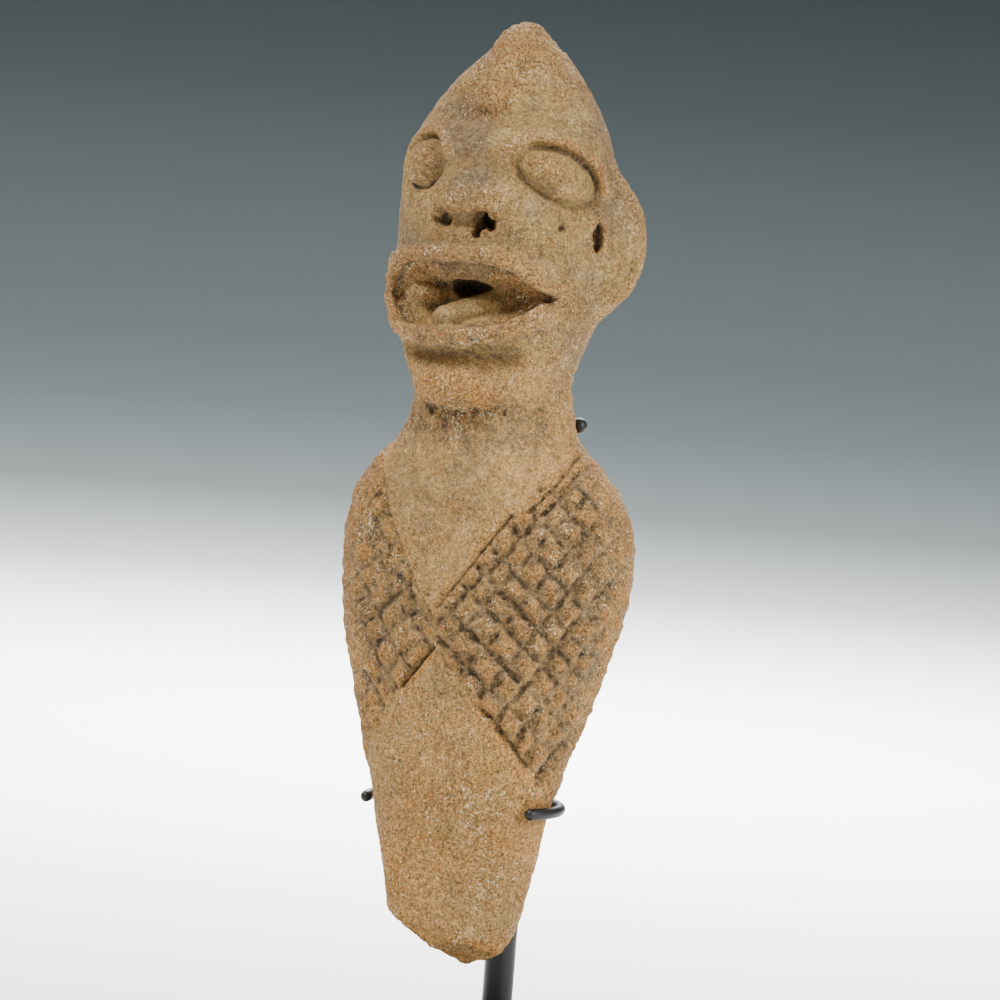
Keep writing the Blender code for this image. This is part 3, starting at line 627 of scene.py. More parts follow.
def standing_out(mesh, times):
    """How far each point stands out of the surface round it, in millimetres; hollows negative."""
    edges = np.empty(len(mesh.edges) * 2, dtype=np.int32)
    mesh.edges.foreach_get("vertices", edges)
    points = read_points(mesh)
    evened = rubbed(points, edges.reshape(-1, 2), times)
    return ((points - evened) * read_normals(mesh)).sum(1)


def bareness(p, rims):
    """Where the fine slip has worn off: 0 is smooth slip, 1 is bare gritty clay."""
    x, y, z = p.T
    groove, inside, _ = hatch_grooves(p)
    from_neck, from_hem, rise = garment_edges(p)
    front = ramp(-y, -6, 8)
    chest = ramp(-from_neck, 0, 2) * ramp(rise, 0, 4) * ramp(139.0 - z, 0, 10) * front
    lower = ramp(-from_hem, 0, 3) * ramp(76.0 - z, 0, 10)
    head = ramp(z, 150, 160) * 0.2
    crown = ramp(z, 216, 232) * 0.4
    lens, up, _ = mouth_lens(p)
    lips = bump(lens - LIP_MIDDLE, 2.2) * ramp(-y, 6, 12)
    within = (lens < 0) * (y < 0)
    wedge = ramp(x, 6, 11) * ramp(-lens, 0, 1.5) + ramp(-x, 4, 9) * ramp(up, -3, 0)
    chin_rim = bump(z - CHIN_EDGE - 1.5, 3.2) * ramp(-y, 10, 16) * ramp(17.0 - np.abs(x), 0, 5)
    bare = 0.42 + 0.12 * lower - 0.26 * chest + crown - head
    bare = bare + 0.5 * ramp(2.0 - roll(p, CREST_LOW, CREST_HIGH, CREST_RADIUS), 0, 1.5)
    bare = bare + 0.42 * ramp(inside, 0, 1.5) * (1 - groove) - 0.3 * groove
    bare = bare + 0.26 * unevenness(p, 13.0, 61) + 0.2 * unevenness(p, 4.5, 62)
    bare = bare + 0.75 * rims + 0.7 * lips + 0.8 * wedge * within + 0.6 * chin_rim
    bare = bare - 1.0 * near_tongue(p)
    return np.clip(bare + 0.5 * ramp(7.0 - z, 0, 6), 0.05, 1)


def near_tongue(p):
    """1 on the tongue's smooth skin, fading out round it."""
    return ramp(2.2 - roll(p, TONGUE_TIP, TONGUE_ROOT, TONGUE_RADIUS), 0, 1.6)


def soil_and_shade(p):
    """Where dark soil sticks or painted shade falls, above 0, or soil was wiped off and painted shade
    held back, below 0.
    """
    x, y, z = p.T
    groove, inside, _ = hatch_grooves(p)
    front = ramp(-y, 4, 10)
    lens, up, _ = mouth_lens(p)
    within = ramp(-lens, 0, 2) * front
    patchy = unevenness(p, 6.0, 43)
    speckled = unevenness(p, 1.6, 44)
    clots = 0.26 + 0.14 * ramp(patchy, 0, 0.6) + 0.7 * speckled
    in_grooves = np.minimum(groove, 1) * clots * ramp(inside, -0.5, 1)
    # Painted shade on the palate, under the upper lip's shelf, flecked with specks
    palate_shade = (0.3 + 0.3 * speckled) * ramp(MOUTH_RIDGE - MOUTH_HEIGHT - up, 1.5, -1.5) * within
    # Painted shade in the hollow under the lower lip, broken up by dark specks
    under_lip_shade = bump(z - CHIN_HOLLOW_HEIGHT - 4.0, 4.4) * front * ramp(20.0 - np.abs(x - 4), 0, 6)
    under_lip_shade = under_lip_shade * (0.24 + 0.2 * patchy + 0.7 * speckled)
    # Painted shadow of the chin on the front of the neck, speckled
    chin_shadow = (0.52 + 0.35 * speckled) * bump(z - CHIN_EDGE + 4.0, 8.0) * front
    septum = bump(x + 0.5, 3.4) * bump(z - NOSTRIL_HEIGHT, 4.0)
    round_eyes = ramp(z, 190, 196) * ramp(228.0 - z, 0, 4) * (0.3 - 0.5 * patchy)
    above_lip = 0.4 * bump(lens - LIP_MIDDLE - 3.0, 2.6) * ramp(up, 0, 3)
    corner = 0.35 * ramp(x, 6, 12) * within * (1 - speckled)
    # Lighter where soil was wiped off; round the eyes and between the nostrils this also holds back
    # the painted shade of the hollows
    wiped = 1.1 * near_tongue(p) + 1.3 * ramp(-x, 7, 12) * ramp(-lens, -1, 1) * front
    wiped = wiped + (0.6 * septum + round_eyes + above_lip + corner) * front
    rubbed_in = 0.24 * ramp(inside, 0, 2) * (1 + 0.5 * patchy)
    return in_grooves + rubbed_in + palate_shade + under_lip_shade + chin_shadow - wiped


def fine_relief(p, bare):
    """Grit, pits and lost grains, in millimetres out from the smooth form."""
    groove, inside, pillow = hatch_grooves(p)
    relief = 0.2 * unevenness(p, 14.0, 71)
    pillows = ramp(inside, 0, 2) * (1 - np.minimum(groove, 1)) * (1 - 0.85 * towards_back(p))
    relief = relief + (0.85 * (pillow - 0.6) + 0.45 * unevenness(p, 3.0, 75)) * pillows
    relief = relief + (0.05 + 0.26 * bare) * unevenness(p, 3.1, 72)
    relief = relief + (0.03 + 0.3 * bare + 0.2 * pillows) * unevenness(p, 1.5, 73)
    distance, share = strewn(p, GRAIN_CELL, 81)
    grain = np.clip(1 - (distance / GRAIN_RADIUS) ** 2, 0, 1)
    relief = relief + GRAIN_HEIGHT * grain * (share < 0.42) * bare
    relief = relief - LOST_GRAIN_DEPTH * grain * (share > 0.74) * (0.1 + bare)
    distance, share = strewn(p, PIT_CELL, 91)
    pit = np.clip(1 - (distance / (PIT_RADIUS + 0.8 * share)) ** 2, 0, 1)
    relief = relief - PIT_DEPTH * pit * (share < 0.4)
    for place, radius, depth in PITS:
        distance = np.linalg.norm(p - np.array(place), axis=1)
        relief = relief - depth * bump(distance, radius)
    chip = np.maximum(unevenness(p, 4.0, 95), 0) * ramp(8.0 - p[:, 2], 0, 5)
    return relief - CHIP_DEPTH * chip


def make_figure(materials):
    """The clay figure in fine faces, with its relief and the values that its material reads."""
    obj = show("clay_figure", wrapped_sphere(240, 200), *materials)
    make_real(obj, "REMESH", mode="VOXEL", voxel_size=FIGURE_VOXEL)
    write_points(obj.data, settle(read_points(obj.data), 3))
    make_real(obj, "SMOOTH", iterations=2)
    write_points(obj.data, settle(read_points(obj.data), 2))
    mesh = obj.data
    points = read_points(mesh)
    rims = np.clip(standing_out(mesh, 30) * 1.1, 0, 1)
    bare = bareness(points, rims)
    points = points + read_normals(mesh) * fine_relief(points, bare)[:, None]
    write_points(mesh, points)
    near = standing_out(mesh, 8)
    wide = standing_out(mesh, 60)
    write_attribute(mesh, "bare", bare)
    write_attribute(mesh, "head", ramp(points[:, 2] + 4 * unevenness(points, 16.0, 99), 146, 164))
    # How sunk each point lies: the material darkens it as painted shade in creases and recesses,
    # together with grey silt, and soil plus painted shade and shadow under the lips and chin are added
    # to it
    hollow = np.clip(-near * 1.5, 0, 0.55) + np.clip(-wide * 0.36, 0, 0.9)
    write_attribute(mesh, "hollow", hollow + soil_and_shade(read_points(mesh)))
    write_attribute(mesh, "rim", np.clip(near, 0, 0.4) + np.clip(wide * 0.35, 0, 0.6))
    low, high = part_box("figure")
    tip, crown = points[:, 2].min(), points[:, 2].max()
    points[:, 2] = (points[:, 2] - tip) / (crown - tip)
    points[:, :2] *= MM
    points[:, 2] = low[2] + points[:, 2] * (high[2] - low[2])
    write_points(mesh, points)
    triangles = sum(len(polygon.vertices) - 2 for polygon in mesh.polygons)
    make_real(obj, "DECIMATE", ratio=min(1.0, FIGURE_TRIANGLES / triangles))
    obj.data.shade_smooth()
    return obj


# Materials

def linear(hex_colour):
    """An sRGB hex colour as the linear colour that shaders take."""
    parts = [int(hex_colour[i : i + 2], 16) / 255 for i in (0, 2, 4)]
    return (*[c / 12.92 if c <= 0.04045 else ((c + 0.055) / 1.055) ** 2.4 for c in parts], 1.0)


def add_node(tree, kind, inputs=None, **settings):
    """Adds a node with its settings, and sets or links its inputs."""
    node = tree.nodes.new(kind)
    for name, value in settings.items():
        setattr(node, name, value)
    for key, value in (inputs or {}).items():
        if isinstance(value, bpy.types.NodeSocket):
            tree.links.new(value, node.inputs[key])
        else:
            node.inputs[key].default_value = value
    return node


def new_material(name, roughness, specular):
    material = bpy.data.materials.new(name)
    material.use_nodes = True
    shader = material.node_tree.nodes["Principled BSDF"]
    shader.inputs["Roughness"].default_value = roughness
    shader.inputs["Specular IOR Level"].default_value = specular
    return material, material.node_tree, shader


def mixed(tree, factor, a, b, blend="MIX"):
    """One colour laid over another where the factor is high."""
    node = add_node(tree, "ShaderNodeMix", {0: factor, 6: a, 7: b}, data_type="RGBA",
                    blend_type=blend)
    return node.outputs[2]


def fired_clay():
    """Low-fired earthenware with coarse temper: matt, thirsty clay, greyer where the fine slip is
    left, orange where it wore off, dark with soil and painted shade in the hollows, and glinting with
    mica."""
    material, tree, shader = new_material("gritty_fired_terracotta", 0.93, 0.22)
    place = add_node(tree, "ShaderNodeTexCoord").outputs["Object"]

    def noise(size_mm, detail, roughness=0.55, shift=0.0):
        moved = add_node(tree, "ShaderNodeMapping", {"Vector": place, "Location": (shift,) * 3})
        return add_node(tree, "ShaderNodeTexNoise", {
            "Vector": moved.outputs[0], "Scale": 1000 / size_mm, "Detail": detail,
            "Roughness": roughness}).outputs[0]

    def steps(value, start, end, low=0.0, high=1.0):
        return add_node(tree, "ShaderNodeMapRange", {
            0: value, 1: start, 2: end, 3: low, 4: high}, interpolation_type="SMOOTHSTEP").outputs[0]

    def read(name):
        return add_node(tree, "ShaderNodeAttribute", attribute_name=name).outputs["Fac"]

    def figured(operation, a, b):
        return add_node(tree, "ShaderNodeMath", {0: a, 1: b}, operation=operation).outputs[0]

    bare, hollow, rim, head = read("bare"), read("hollow"), read("rim"), read("head")
    # Slip, mottled over a few centimetres, browner on the head than on the body
    slip = mixed(tree, head, linear("a7814e"), linear("8d7347"))
    greyer = mixed(tree, head, linear("8b6f47"), linear("6f5b42"))
    colour = mixed(tree, steps(noise(24, 3), 0.38, 0.62), slip, greyer)
    colour = mixed(tree, steps(noise(5, 4, 0.6, 0.3), 0.45, 0.7, 0, 0.5), colour, linear("886336"))
    # Old grime in greyish clouds, and pale dust between them
    grime = steps(noise(9.0, 6, 0.72, 4.3), 0.5, 0.66, 0.0, 0.5)
    colour = mixed(tree, grime, colour, mixed(tree, head, linear("7e6848"), linear("625340")))
    dust = steps(noise(5.5, 5, 0.7, 5.1), 0.52, 0.68, 0.0, 0.4)
    colour = mixed(tree, dust, colour, linear("bf9f70"))
    # Bare clay, redder, where the slip has gone
    worn = steps(figured("ADD", bare, figured("MULTIPLY", rim, 0.8)), 0.3, 1.1)
    warm = figured("MULTIPLY", worn, steps(noise(2.4, 5, 0.75, 0.5), 0.3, 0.62, 0.2, 0.8))
    colour = mixed(tree, warm, colour, mixed(tree, head, linear("a0713a"), linear("987044")))
    # Grey silt lies in the hollows, with painted shade there that turns dark where they are deep
    clumps = steps(noise(1.9, 5, 0.75, 6.1), 0.36, 0.6, 0.3, 1.0)
    silt_and_shade = figured("MULTIPLY", steps(hollow, 0.1, 0.55, 0.0, 0.85), clumps)
    colour = mixed(tree, silt_and_shade, colour, mixed(tree, head, linear("6b5a42"), linear("655743")))
    # Painted shade, near black where the hollows are deepest
    deep = figured("MULTIPLY", steps(hollow, 0.5, 1.0, 0.0, 0.9), clumps)
    colour = mixed(tree, deep, colour, linear("281f16"))
    # Grit under a millimetre across, in light and dark, as sharp as it shows from here
    grit = steps(noise(0.62, 4, 0.8, 0.7), 0.3, 0.7, 0.15, 1.85)
    sandy = steps(noise(1.3, 4, 0.75, 0.9), 0.3, 0.7, 0.7, 1.3)
    strength = steps(bare, 0.0, 0.8, 0.6, 1.0)
    colour = mixed(tree, strength, colour, mixed(tree, 1.0, colour, grit, "MULTIPLY"))
    colour = mixed(tree, 1.0, colour, sandy, "MULTIPLY")
    # Painted shade in pores where a grain fell out, rusty grains, and white quartz in loose clusters
    pore_shade = figured("MULTIPLY", steps(noise(1.1, 3, 0.7, 1.3), 0.37, 0.31),
                    steps(bare, 0.1, 0.8, 0.25, 0.8))
    colour = mixed(tree, pore_shade, colour, linear("3f3022"))
    rust = figured("MULTIPLY", steps(noise(1.3, 2, 0.6, 1.7), 0.63, 0.68),
                   steps(bare, 0.2, 0.8, 0.1, 0.75))
    colour = mixed(tree, rust, colour, linear("9c5a2c"))
    cluster = steps(noise(8.0, 4, 0.65, 2.1), 0.42, 0.64, -0.02, 0.085)
    white_share = figured("ADD", noise(0.8, 3, 0.75, 2.5), cluster)
    quartz = figured("MULTIPLY", steps(white_share, 0.655, 0.69), steps(bare, 0.1, 0.8, 0.2, 0.95))
    colour = mixed(tree, quartz, colour, linear("e4d2aa"))
    tree.links.new(colour, shader.inputs["Base Color"])
    lumps = figured("MULTIPLY", noise(0.75, 4, 0.75, 0.7), steps(bare, 0.0, 0.8, 0.4, 1.0))
    height = figured("ADD", lumps, figured("MULTIPLY", quartz, 0.2))
    relief = add_node(tree, "ShaderNodeBump", {"Strength": 0.8, "Distance": 0.0006, "Height": height})
    tree.links.new(relief.outputs[0], shader.inputs["Normal"])
    return material


def temper_stone(name, colour, roughness, specular):
    """A grain of crushed quartz or dark grog, broken and fresh-faced, that stands in the clay."""
    material, tree, shader = new_material(name, roughness, specular)
    place = add_node(tree, "ShaderNodeTexCoord").outputs["Object"]
    tint = add_node(tree, "ShaderNodeTexNoise", {"Vector": place, "Scale": 900, "Detail": 1.0})
    tree.links.new(mixed(tree, tint.outputs[0], linear(colour[0]), linear(colour[1])),
                   shader.inputs["Base Color"])
    return material


def black_paint():
    """Air-dried black paint over brazed mild steel: nearly matt, faintly orange-peeled, dusty."""
    material, tree, shader = new_material("black_painted_steel", 0.46, 0.4)
    place = add_node(tree, "ShaderNodeTexCoord").outputs["Object"]
    dust = add_node(tree, "ShaderNodeTexNoise", {"Vector": place, "Scale": 130, "Detail": 5.0})
    shade = add_node(tree, "ShaderNodeMapRange", {0: dust.outputs[0], 1: 0.45, 2: 0.8, 3: 0.0, 4: 0.5})
    colour = mixed(tree, shade.outputs[0], linear("161616"), linear("2b2a28"))
    tree.links.new(colour, shader.inputs["Base Color"])
    peel = add_node(tree, "ShaderNodeTexNoise", {"Vector": place, "Scale": 1400, "Detail": 2.0})
    relief = add_node(tree, "ShaderNodeBump", {
        "Strength": 0.25, "Distance": 0.0001, "Height": peel.outputs[0]})
    tree.links.new(relief.outputs[0], shader.inputs["Normal"])
    matt = add_node(tree, "ShaderNodeMapRange", {0: dust.outputs[0], 1: 0.3, 2: 0.8, 3: 0.4, 4: 0.62})
    tree.links.new(matt.outputs[0], shader.inputs["Roughness"])
    return material


# Temper grains

def grain_tree():
    """Strews broken grains over a surface, thickest where the clay is bare."""
    tree = bpy.data.node_groups.new("strewn_temper", "GeometryNodeTree")
    sockets = (
        ("Clay", "NodeSocketGeometry", None),
        ("Grains per square metre", "NodeSocketFloat", 60000.0),
        ("Least spacing", "NodeSocketFloat", 0.0006),
        ("Smallest radius", "NodeSocketFloat", 0.0002),
        ("Largest radius", "NodeSocketFloat", 0.0005),
        ("Seed", "NodeSocketInt", 1),
        ("Stone", "NodeSocketMaterial", None),
    )
    for name, kind, value in sockets:
        socket = tree.interface.new_socket(name=name, in_out="INPUT", socket_type=kind)
        if value is not None:
            socket.default_value = value
    tree.interface.new_socket(name="Grains", in_out="OUTPUT", socket_type="NodeSocketGeometry")
    given = add_node(tree, "NodeGroupInput").outputs
    bare = add_node(tree, "GeometryNodeInputNamedAttribute", {"Name": "bare"}, data_type="FLOAT")
    hollow = add_node(tree, "GeometryNodeInputNamedAttribute", {"Name": "hollow"}, data_type="FLOAT")
    open_clay = add_node(tree, "ShaderNodeMath", {0: bare.outputs[0], 1: hollow.outputs[0]},
                         operation="SUBTRACT", use_clamp=True)
    strew = add_node(tree, "GeometryNodeDistributePointsOnFaces", {
        "Mesh": given["Clay"], "Distance Min": given["Least spacing"],
        "Density Max": given["Grains per square metre"], "Density Factor": open_clay.outputs[0],
        "Seed": given["Seed"]}, distribute_method="POISSON")
    stone = add_node(tree, "GeometryNodeMeshIcoSphere", {"Radius": 1.0, "Subdivisions": 1})
    size = add_node(tree, "FunctionNodeRandomValue", {
        2: given["Smallest radius"], 3: given["Largest radius"], "Seed": given["Seed"]},
        data_type="FLOAT")
    squash = add_node(tree, "FunctionNodeRandomValue", {
        0: (0.6, 0.6, 0.4), 1: (1.3, 1.1, 0.8), "Seed": given["Seed"]}, data_type="FLOAT_VECTOR")
    scale = add_node(tree, "ShaderNodeVectorMath", {0: squash.outputs[0], 3: size.outputs[1]},
                     operation="SCALE")
    turn = add_node(tree, "FunctionNodeRandomValue", {
        0: (0.0, 0.0, 0.0), 1: (6.28, 6.28, 6.28), "Seed": given["Seed"]}, data_type="FLOAT_VECTOR")
    placed = add_node(tree, "GeometryNodeInstanceOnPoints", {
        "Points": strew.outputs["Points"], "Instance": stone.outputs["Mesh"],
        "Rotation": turn.outputs[0], "Scale": scale.outputs[0]})
    real = add_node(tree, "GeometryNodeRealizeInstances", {0: placed.outputs[0]})
    stony = add_node(tree, "GeometryNodeSetMaterial", {
        "Geometry": real.outputs[0], "Material": given["Stone"]})
    add_node(tree, "NodeGroupOutput", {0: stony.outputs[0]})
    return tree


def strew_grains(name, figure, tree, stone, **sizes):
    """A plain mesh of grains strewn over the figure's mesh."""
    carrier = bpy.data.objects.new(name, figure.data.copy())
    bpy.context.scene.collection.objects.link(carrier)
    modifier = carrier.modifiers.new("strewn", "NODES")
    modifier.node_group = tree
    wanted = {"Stone": stone, **{key.replace("_", " "): value for key, value in sizes.items()}}
    for item in tree.interface.items_tree:
        if item.in_out == "INPUT" and item.name in wanted:
            modifier[item.identifier] = wanted[item.name]
    mesh = as_plain_mesh(carrier)
    bpy.data.objects.remove(carrier)
    grains = bpy.data.objects.new(name, mesh)
    bpy.context.scene.collection.objects.link(grains)
    mesh.shade_flat()
    return grains


# Stand

def round_the_body(height, turn_degrees, standoff):
    """A point a standoff away from the body, turned from the middle of the back, in mm."""
    level = np.array([height])
    half_width, front, back, middle = (
        float(through(level, BODY_SECTIONS, column)[0]) for column in (1, 2, 3, 4)
    )
    s, c = math.sin(math.radians(turn_degrees)), math.cos(math.radians(turn_degrees))
    power = 2 / BODY_SQUARENESS
    half_depth = back if c > 0 else front
    x = math.copysign(abs(s) ** power, s) * (half_width + standoff)
    y = math.copysign(abs(c) ** power, c) * (half_depth + standoff)
    return Vector((x, middle + y, FIGURE_FLOOR + height))


def off_the_clay(diameter):
    """How far a wire's middle lies off the body's section, in mm."""
    return UNEVENNESS + WIRE_CLEARANCE + diameter / 2


def hip_clip_points(count):
    """The hip wire's middle line, highest at the back and a little higher on one side."""
    points = []
    for i in range(count):
        turn = HIP_CLIP_REACH * (2 * i / (count - 1) - 1)
        rise = HIP_CLIP_RISE * (1 - abs(turn) / HIP_CLIP_REACH)
        height = HIP_CLIP_HEIGHT + rise + HIP_CLIP_TILT * turn / HIP_CLIP_REACH
        points.append(round_the_body(height, turn, off_the_clay(WIRE_DIAMETER)))
    return points


def neck_clip_points(count):
    """The neck wire's middle line, level round the back of the neck."""
    standoff = off_the_clay(BALL_TIP_DIAMETER)
    turns = [NECK_CLIP_REACH * (2 * i / (count - 1) - 1) for i in range(count)]
    return [round_the_body(NECK_CLIP_HEIGHT, turn, standoff) for turn in turns]


def post_back():
    """How far back the post stands: behind the hip clip, which lies between it and the clay."""
    behind_clip = round_the_body(HIP_CLIP_HEIGHT + HIP_CLIP_RISE, 0, off_the_clay(WIRE_DIAMETER))
    return behind_clip.y + WIRE_DIAMETER / 2 + WELD_GAP + POST_DIAMETER / 2


def spine_points(count):
    """From the post's top up the hollow of the back to behind the neck clip."""
    top_height = NECK_CLIP_HEIGHT + 3.0
    neck_back = max(point.y for point in neck_clip_points(9))
    behind_neck = neck_back + WIRE_DIAMETER / 2 + WELD_GAP + SPINE_DIAMETER / 2
    points = [Vector((0, post_back(), FIGURE_FLOOR + POST_TOP_HEIGHT + WELD_GAP))]
    for i in range(1, count):
        share = i / (count - 1)
        height = POST_TOP_HEIGHT + (top_height - POST_TOP_HEIGHT) * share
        on_back = round_the_body(height, 0, off_the_clay(SPINE_DIAMETER) + GARMENT_THICKNESS)
        from_post = 1 - float(ramp(np.array(share), 0, 0.3))
        on_back.y = max(on_back.y, post_back()) * from_post + on_back.y * (1 - from_post)
        on_back.y = max(on_back.y, behind_neck)
        points.append(on_back)
    return points


def rounded_ends(points, diameter, ball):
    """Extra points at both ends of a wire, with the radii that round each end into a ball."""
    start = -math.sqrt(max(ball**2 - diameter**2, 0.0)) / 2
    offsets = [start + (ball / 2 * 0.998 - start) * math.sin(i * math.pi / 16) for i in range(9)]
    radii = [math.sqrt(max((ball / 2) ** 2 - o**2, 0.0)) for o in offsets]
    out_first = (points[0] - points[1]).normalized()
    out_last = (points[-1] - points[-2]).normalized()
    first = [points[0] + out_first * (o - start) for o in reversed(offsets)]
    last = [points[-1] + out_last * (o - start) for o in offsets]
    middle = [diameter / 2] * (len(points) - 2)
    return first + points[1:-1] + last, radii[::-1] + middle + radii


def rod(name, points, radii, paint):
    """A round rod through the points, in millimetres, with a radius at each."""
    curve = bpy.data.curves.new(name, "CURVE")
    curve.dimensions = "3D"
    curve.bevel_depth = 1.0
    curve.bevel_resolution = 6
    curve.use_fill_caps = True
    spline = curve.splines.new("POLY")
    spline.points.add(len(points) - 1)
    for spot, point, radius in zip(spline.points, points, radii):
        spot.co = (*(point * MM), 1.0)
        spot.radius = max(radius, 0.02) * MM
    bent = bpy.data.objects.new(name, curve)
    bpy.context.scene.collection.objects.link(bent)
    mesh = as_plain_mesh(bent)
    bpy.data.objects.remove(bent)
    obj = show(name, mesh, paint)
    mesh.shade_smooth()
    mesh.set_sharp_from_angle(angle=math.radians(50))
    return obj


def make_post(paint):
    """The thick rod, seated in the base, with a small chamfer at both ends."""
    foot = BASE_THICKNESS - POST_SEAT_DEPTH
    top = FIGURE_FLOOR + POST_TOP_HEIGHT
    back, radius, chamfer = post_back(), POST_DIAMETER / 2, 0.5
    heights = (foot, foot + chamfer, top - chamfer, top)
    radii = (radius - chamfer, radius, radius, radius - chamfer)
    return rod("post_rod", [Vector((0, back, h)) for h in heights], radii, paint)


def fillet(shape, centre, profile, steps=40):
    """A ring of braze turned round an upright rod: profile is radius and height in mm."""
    rings = []
    for radius, height in profile:
        ring = []
        for i in range(steps):
            turn = 2 * math.pi * i / steps
            lump = 1 + 0.02 * math.sin(3 * turn + height) + 0.015 * math.sin(7 * turn)
            spot = Vector((math.cos(turn) * radius * lump, math.sin(turn) * radius * lump, height))
            ring.append(shape.verts.new((centre + spot) * MM))
        rings.append(ring)
    for low, high in zip(rings, rings[1:]):
        for i in range(steps):
            j = (i + 1) % steps
            shape.faces.new((low[i], low[j], high[j], high[i]))
    shape.faces.new(rings[0][::-1])
    shape.faces.new(rings[-1])


def bead(shape, centre, radii):
    """A blob of braze, a little lumpy, that fills the angle between two wires."""
    made = bmesh.ops.create_uvsphere(shape, u_segments=28, v_segments=18, radius=1.0)
    for vertex in made["verts"]:
        x, y, z = vertex.co
        lump = 1 + 0.05 * math.sin(4 * x + 2 * z) * math.cos(3 * y + z)
        vertex.co = (centre + Vector((x * radii[0], y * radii[1], z * radii[2])) * lump) * MM


def make_braze(paint):
    """The brazed joints of the stand: post in base, spine on post, and a clip on each."""
    shape = bmesh.new()
    back = post_back()
    radius, spine = POST_DIAMETER / 2, SPINE_DIAMETER / 2
    base_ring = [(radius + 1.5, 0.02), (radius + 0.8, 0.35), (radius + 0.3, 0.9), (radius + 0.02, 1.7)]
    fillet(shape, Vector((0, back, BASE_THICKNESS)), base_ring)
    spine_ring = [(radius - 0.6, 0.0), (spine + 0.7, 0.5), (spine + 0.25, 1.2), (spine + 0.03, 2.2)]
    fillet(shape, Vector((0, back, FIGURE_FLOOR + POST_TOP_HEIGHT)), spine_ring)
    hip = round_the_body(HIP_CLIP_HEIGHT + HIP_CLIP_RISE, 0, off_the_clay(WIRE_DIAMETER))
    bead(shape, hip + Vector((0, 1.5, 0)), (2.9, 1.5, 1.9))
    neck = max(neck_clip_points(17), key=lambda point: point.y)
    bead(shape, Vector((0, neck.y + 1.5, neck.z)), (2.4, 1.4, 1.9))
    mesh = bpy.data.meshes.new("braze_joints")
    shape.to_mesh(mesh)
    shape.free()
    mesh.shade_smooth()
    return show("braze_joints", mesh, paint)


def make_stand(paint):
    """The rods and wires, each in place of its plain solid."""
    post = make_post(paint)
    spine_path = spine_points(60)
    spine = rod("spine_rod", spine_path, [SPINE_DIAMETER / 2] * len(spine_path), paint)
    hips, hip_radii = rounded_ends(hip_clip_points(80), WIRE_DIAMETER, WIRE_DIAMETER)
    hip_clip = rod("hip_clip_wire", hips, hip_radii, paint)
    neck, neck_radii = rounded_ends(neck_clip_points(40), WIRE_DIAMETER, BALL_TIP_DIAMETER)
    neck_clip = rod("neck_fork_wire", neck, neck_radii, paint)
    dressed = ((post, "post", "stand_steel"), (spine, "spine", "stand_steel"),
               (hip_clip, "hip_clip", "clip_wire"), (neck_clip, "neck_clip", "clip_wire"))
    for piece, node, slot in dressed:
        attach(piece, "root")
        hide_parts(node)
    braze = make_braze(paint)
    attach(braze, "root")
    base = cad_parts["base"]
    base.data.materials.clear()
    base.data.materials.append(paint)


# Studio

def backdrop_paper():
    """Studio paper: matt, near white underfoot, with painted shade deepening to slate up the sweep."""
    material, tree, shader = new_material("backdrop_paper_painted_falloff", 0.95, 0.1)
    place = add_node(tree, "ShaderNodeTexCoord").outputs["Object"]
    parts = add_node(tree, "ShaderNodeSeparateXYZ", {0: place}).outputs
    level = add_node(tree, "ShaderNodeVectorMath", {
        0: place, 1: (1.0, 1.0, 0.0)}, operation="MULTIPLY")
    reach = add_node(tree, "ShaderNodeVectorMath", {0: level.outputs[0]}, operation="LENGTH")
    climb = add_node(tree, "ShaderNodeMath", {0: parts[2], 1: 1.6, 2: reach.outputs[1]},
                     operation="MULTIPLY_ADD")
    near = add_node(tree, "ShaderNodeMapRange", {0: climb.outputs[0], 1: 0.4, 2: 3.0})
    far = add_node(tree, "ShaderNodeMapRange", {0: climb.outputs[0], 1: 2.6, 2: 4.9})
    # Painted shade: the paper darkens with height up the sweep
    colour = mixed(tree, near.outputs[0], linear("f7f8f6"), linear("8d999b"))
    colour = mixed(tree, far.outputs[0], colour, linear("252f33"))
    tree.links.new(colour, shader.inputs["Base Color"])
    return material


def make_floor():
    """A pale floor that sweeps up all round into a low wall, far outside every view's object."""
    profile = [(0.4, 0.0), (0.8, 0.0), (1.4, 0.0), (2.0, 0.0), (2.6, 0.02), (3.1, 0.14),
               (3.5, 0.42), (3.75, 0.85), (3.85, 1.5), (3.85, 2.6)]
    steps = 96
    shape = bmesh.new()
    centre = shape.verts.new((0, 0, 0))
    rings = [[shape.verts.new((r * math.cos(2 * math.pi * i / steps),
                               r * math.sin(2 * math.pi * i / steps), z)) for i in range(steps)]
             for r, z in profile]
    for i in range(steps):
        j = (i + 1) % steps
        shape.faces.new((centre, rings[0][i], rings[0][j]))
        for inner, outer in zip(rings, rings[1:]):
            shape.faces.new((inner[i], outer[i], outer[j], inner[j]))
    mesh = bpy.data.meshes.new("studio_floor")
    shape.to_mesh(mesh)
    shape.free()
    mesh.shade_smooth()
    return show("studio_floor", mesh, backdrop_paper())


def make_light(name, location, aim, size, power):
    """A round softbox turned towards its aim."""
    lamp = bpy.data.lights.new(name, "AREA")
    lamp.shape = "DISK"
    lamp.size = size
    lamp.energy = power
    holder = bpy.data.objects.new(name, lamp)
    bpy.context.scene.collection.objects.link(holder)
    holder.location = location
    holder.rotation_euler = (Vector(location) - Vector(aim)).to_track_quat("Z", "Y").to_euler()


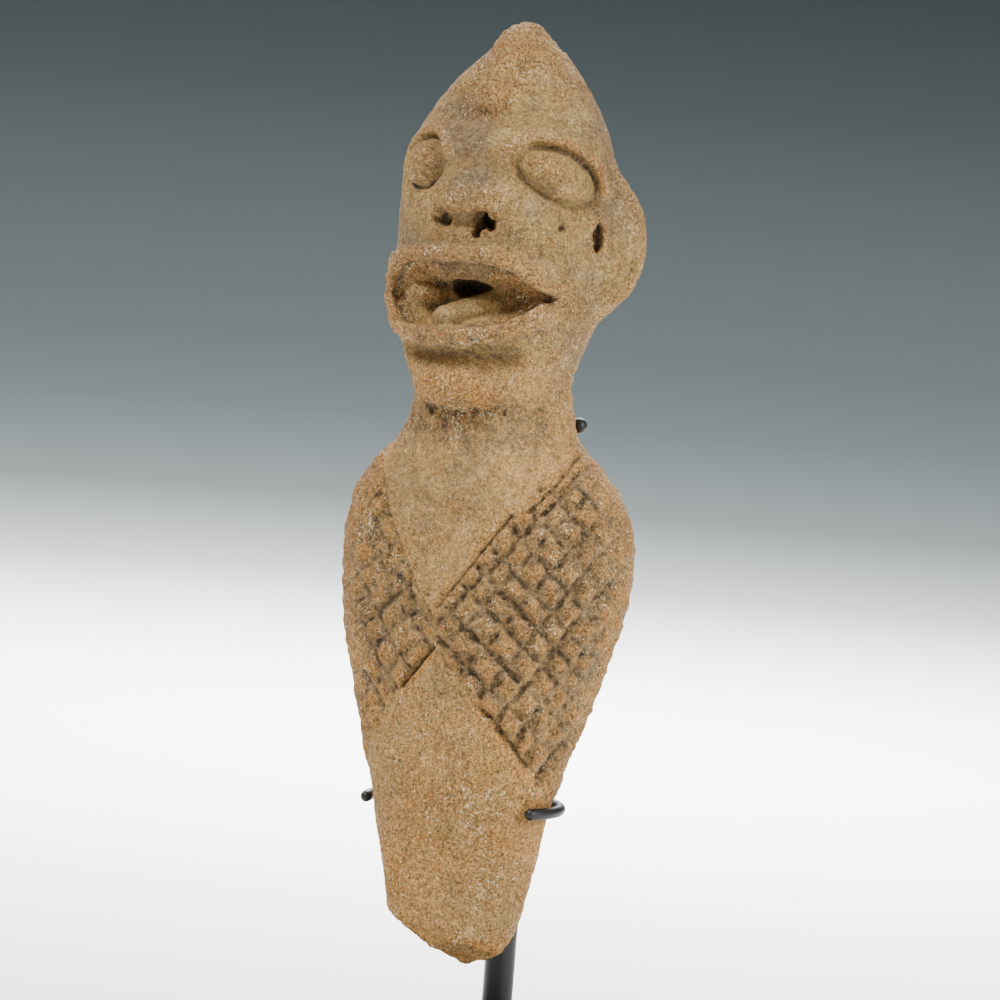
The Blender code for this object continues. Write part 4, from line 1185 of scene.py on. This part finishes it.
def make_studio():
    """Floor, soft daylight all round and the softboxes."""
    make_floor()
    world = bpy.data.worlds.new("soft_studio")
    bpy.context.scene.world = world
    world.use_nodes = True
    background = world.node_tree.nodes["Background"]
    background.inputs[0].default_value = (1.0, 0.985, 0.95, 1.0)
    background.inputs[1].default_value = 0.42
    for softbox in SOFTBOXES:
        make_light(*softbox)


def make_camera():
    """Stands where the photograph was taken from, and leans with it."""
    level = math.cos(CAMERA_ELEVATION)
    back = Vector((math.sin(CAMERA_AZIMUTH) * level, -math.cos(CAMERA_AZIMUTH) * level,
                   math.sin(CAMERA_ELEVATION)))
    right = Vector((math.cos(CAMERA_AZIMUTH), math.sin(CAMERA_AZIMUTH), 0))
    up = back.cross(right)
    aim = Vector((0, 0, AIM_HEIGHT)) + right * AIM_SIDE
    camera = bpy.data.objects.new("camera", bpy.data.cameras.new("camera"))
    bpy.context.scene.collection.objects.link(camera)
    camera.data.sensor_width = SENSOR_WIDTH
    camera.data.lens = SENSOR_WIDTH * CAMERA_DISTANCE / SHOWN_WIDTH
    turned = Matrix((right, up, back)).transposed().to_4x4()
    turned = turned @ Matrix.Rotation(CAMERA_LEAN, 4, "Z")
    camera.matrix_world = Matrix.Translation(aim + back * CAMERA_DISTANCE) @ turned
    bpy.context.scene.camera = camera


def dress():
    """The whole scene: camera, studio, figure, its grains and the stand."""
    make_camera()
    make_studio()
    figure = make_figure([fired_clay()])
    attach(figure, "root")
    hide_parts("figure")
    tree = grain_tree()
    quartz = temper_stone("crushed_quartz", ("efe6d2", "cbb48c"), 0.35, 0.6)
    grog = temper_stone("dark_grog", ("5b3a24", "33261c"), 0.8, 0.3)
    strewings = (
        ("quartz_grains", quartz, *QUARTZ, 5),
        ("grog_grains", grog, *GROG, 9),
    )
    for name, stone, density, smallest, largest, seed in strewings:
        grains = strew_grains(name, figure, tree, stone, Grains_per_square_metre=density,
                              Smallest_radius=smallest, Largest_radius=largest, Seed=seed)
        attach(grains, "root")
    make_stand(black_paint())


dress()
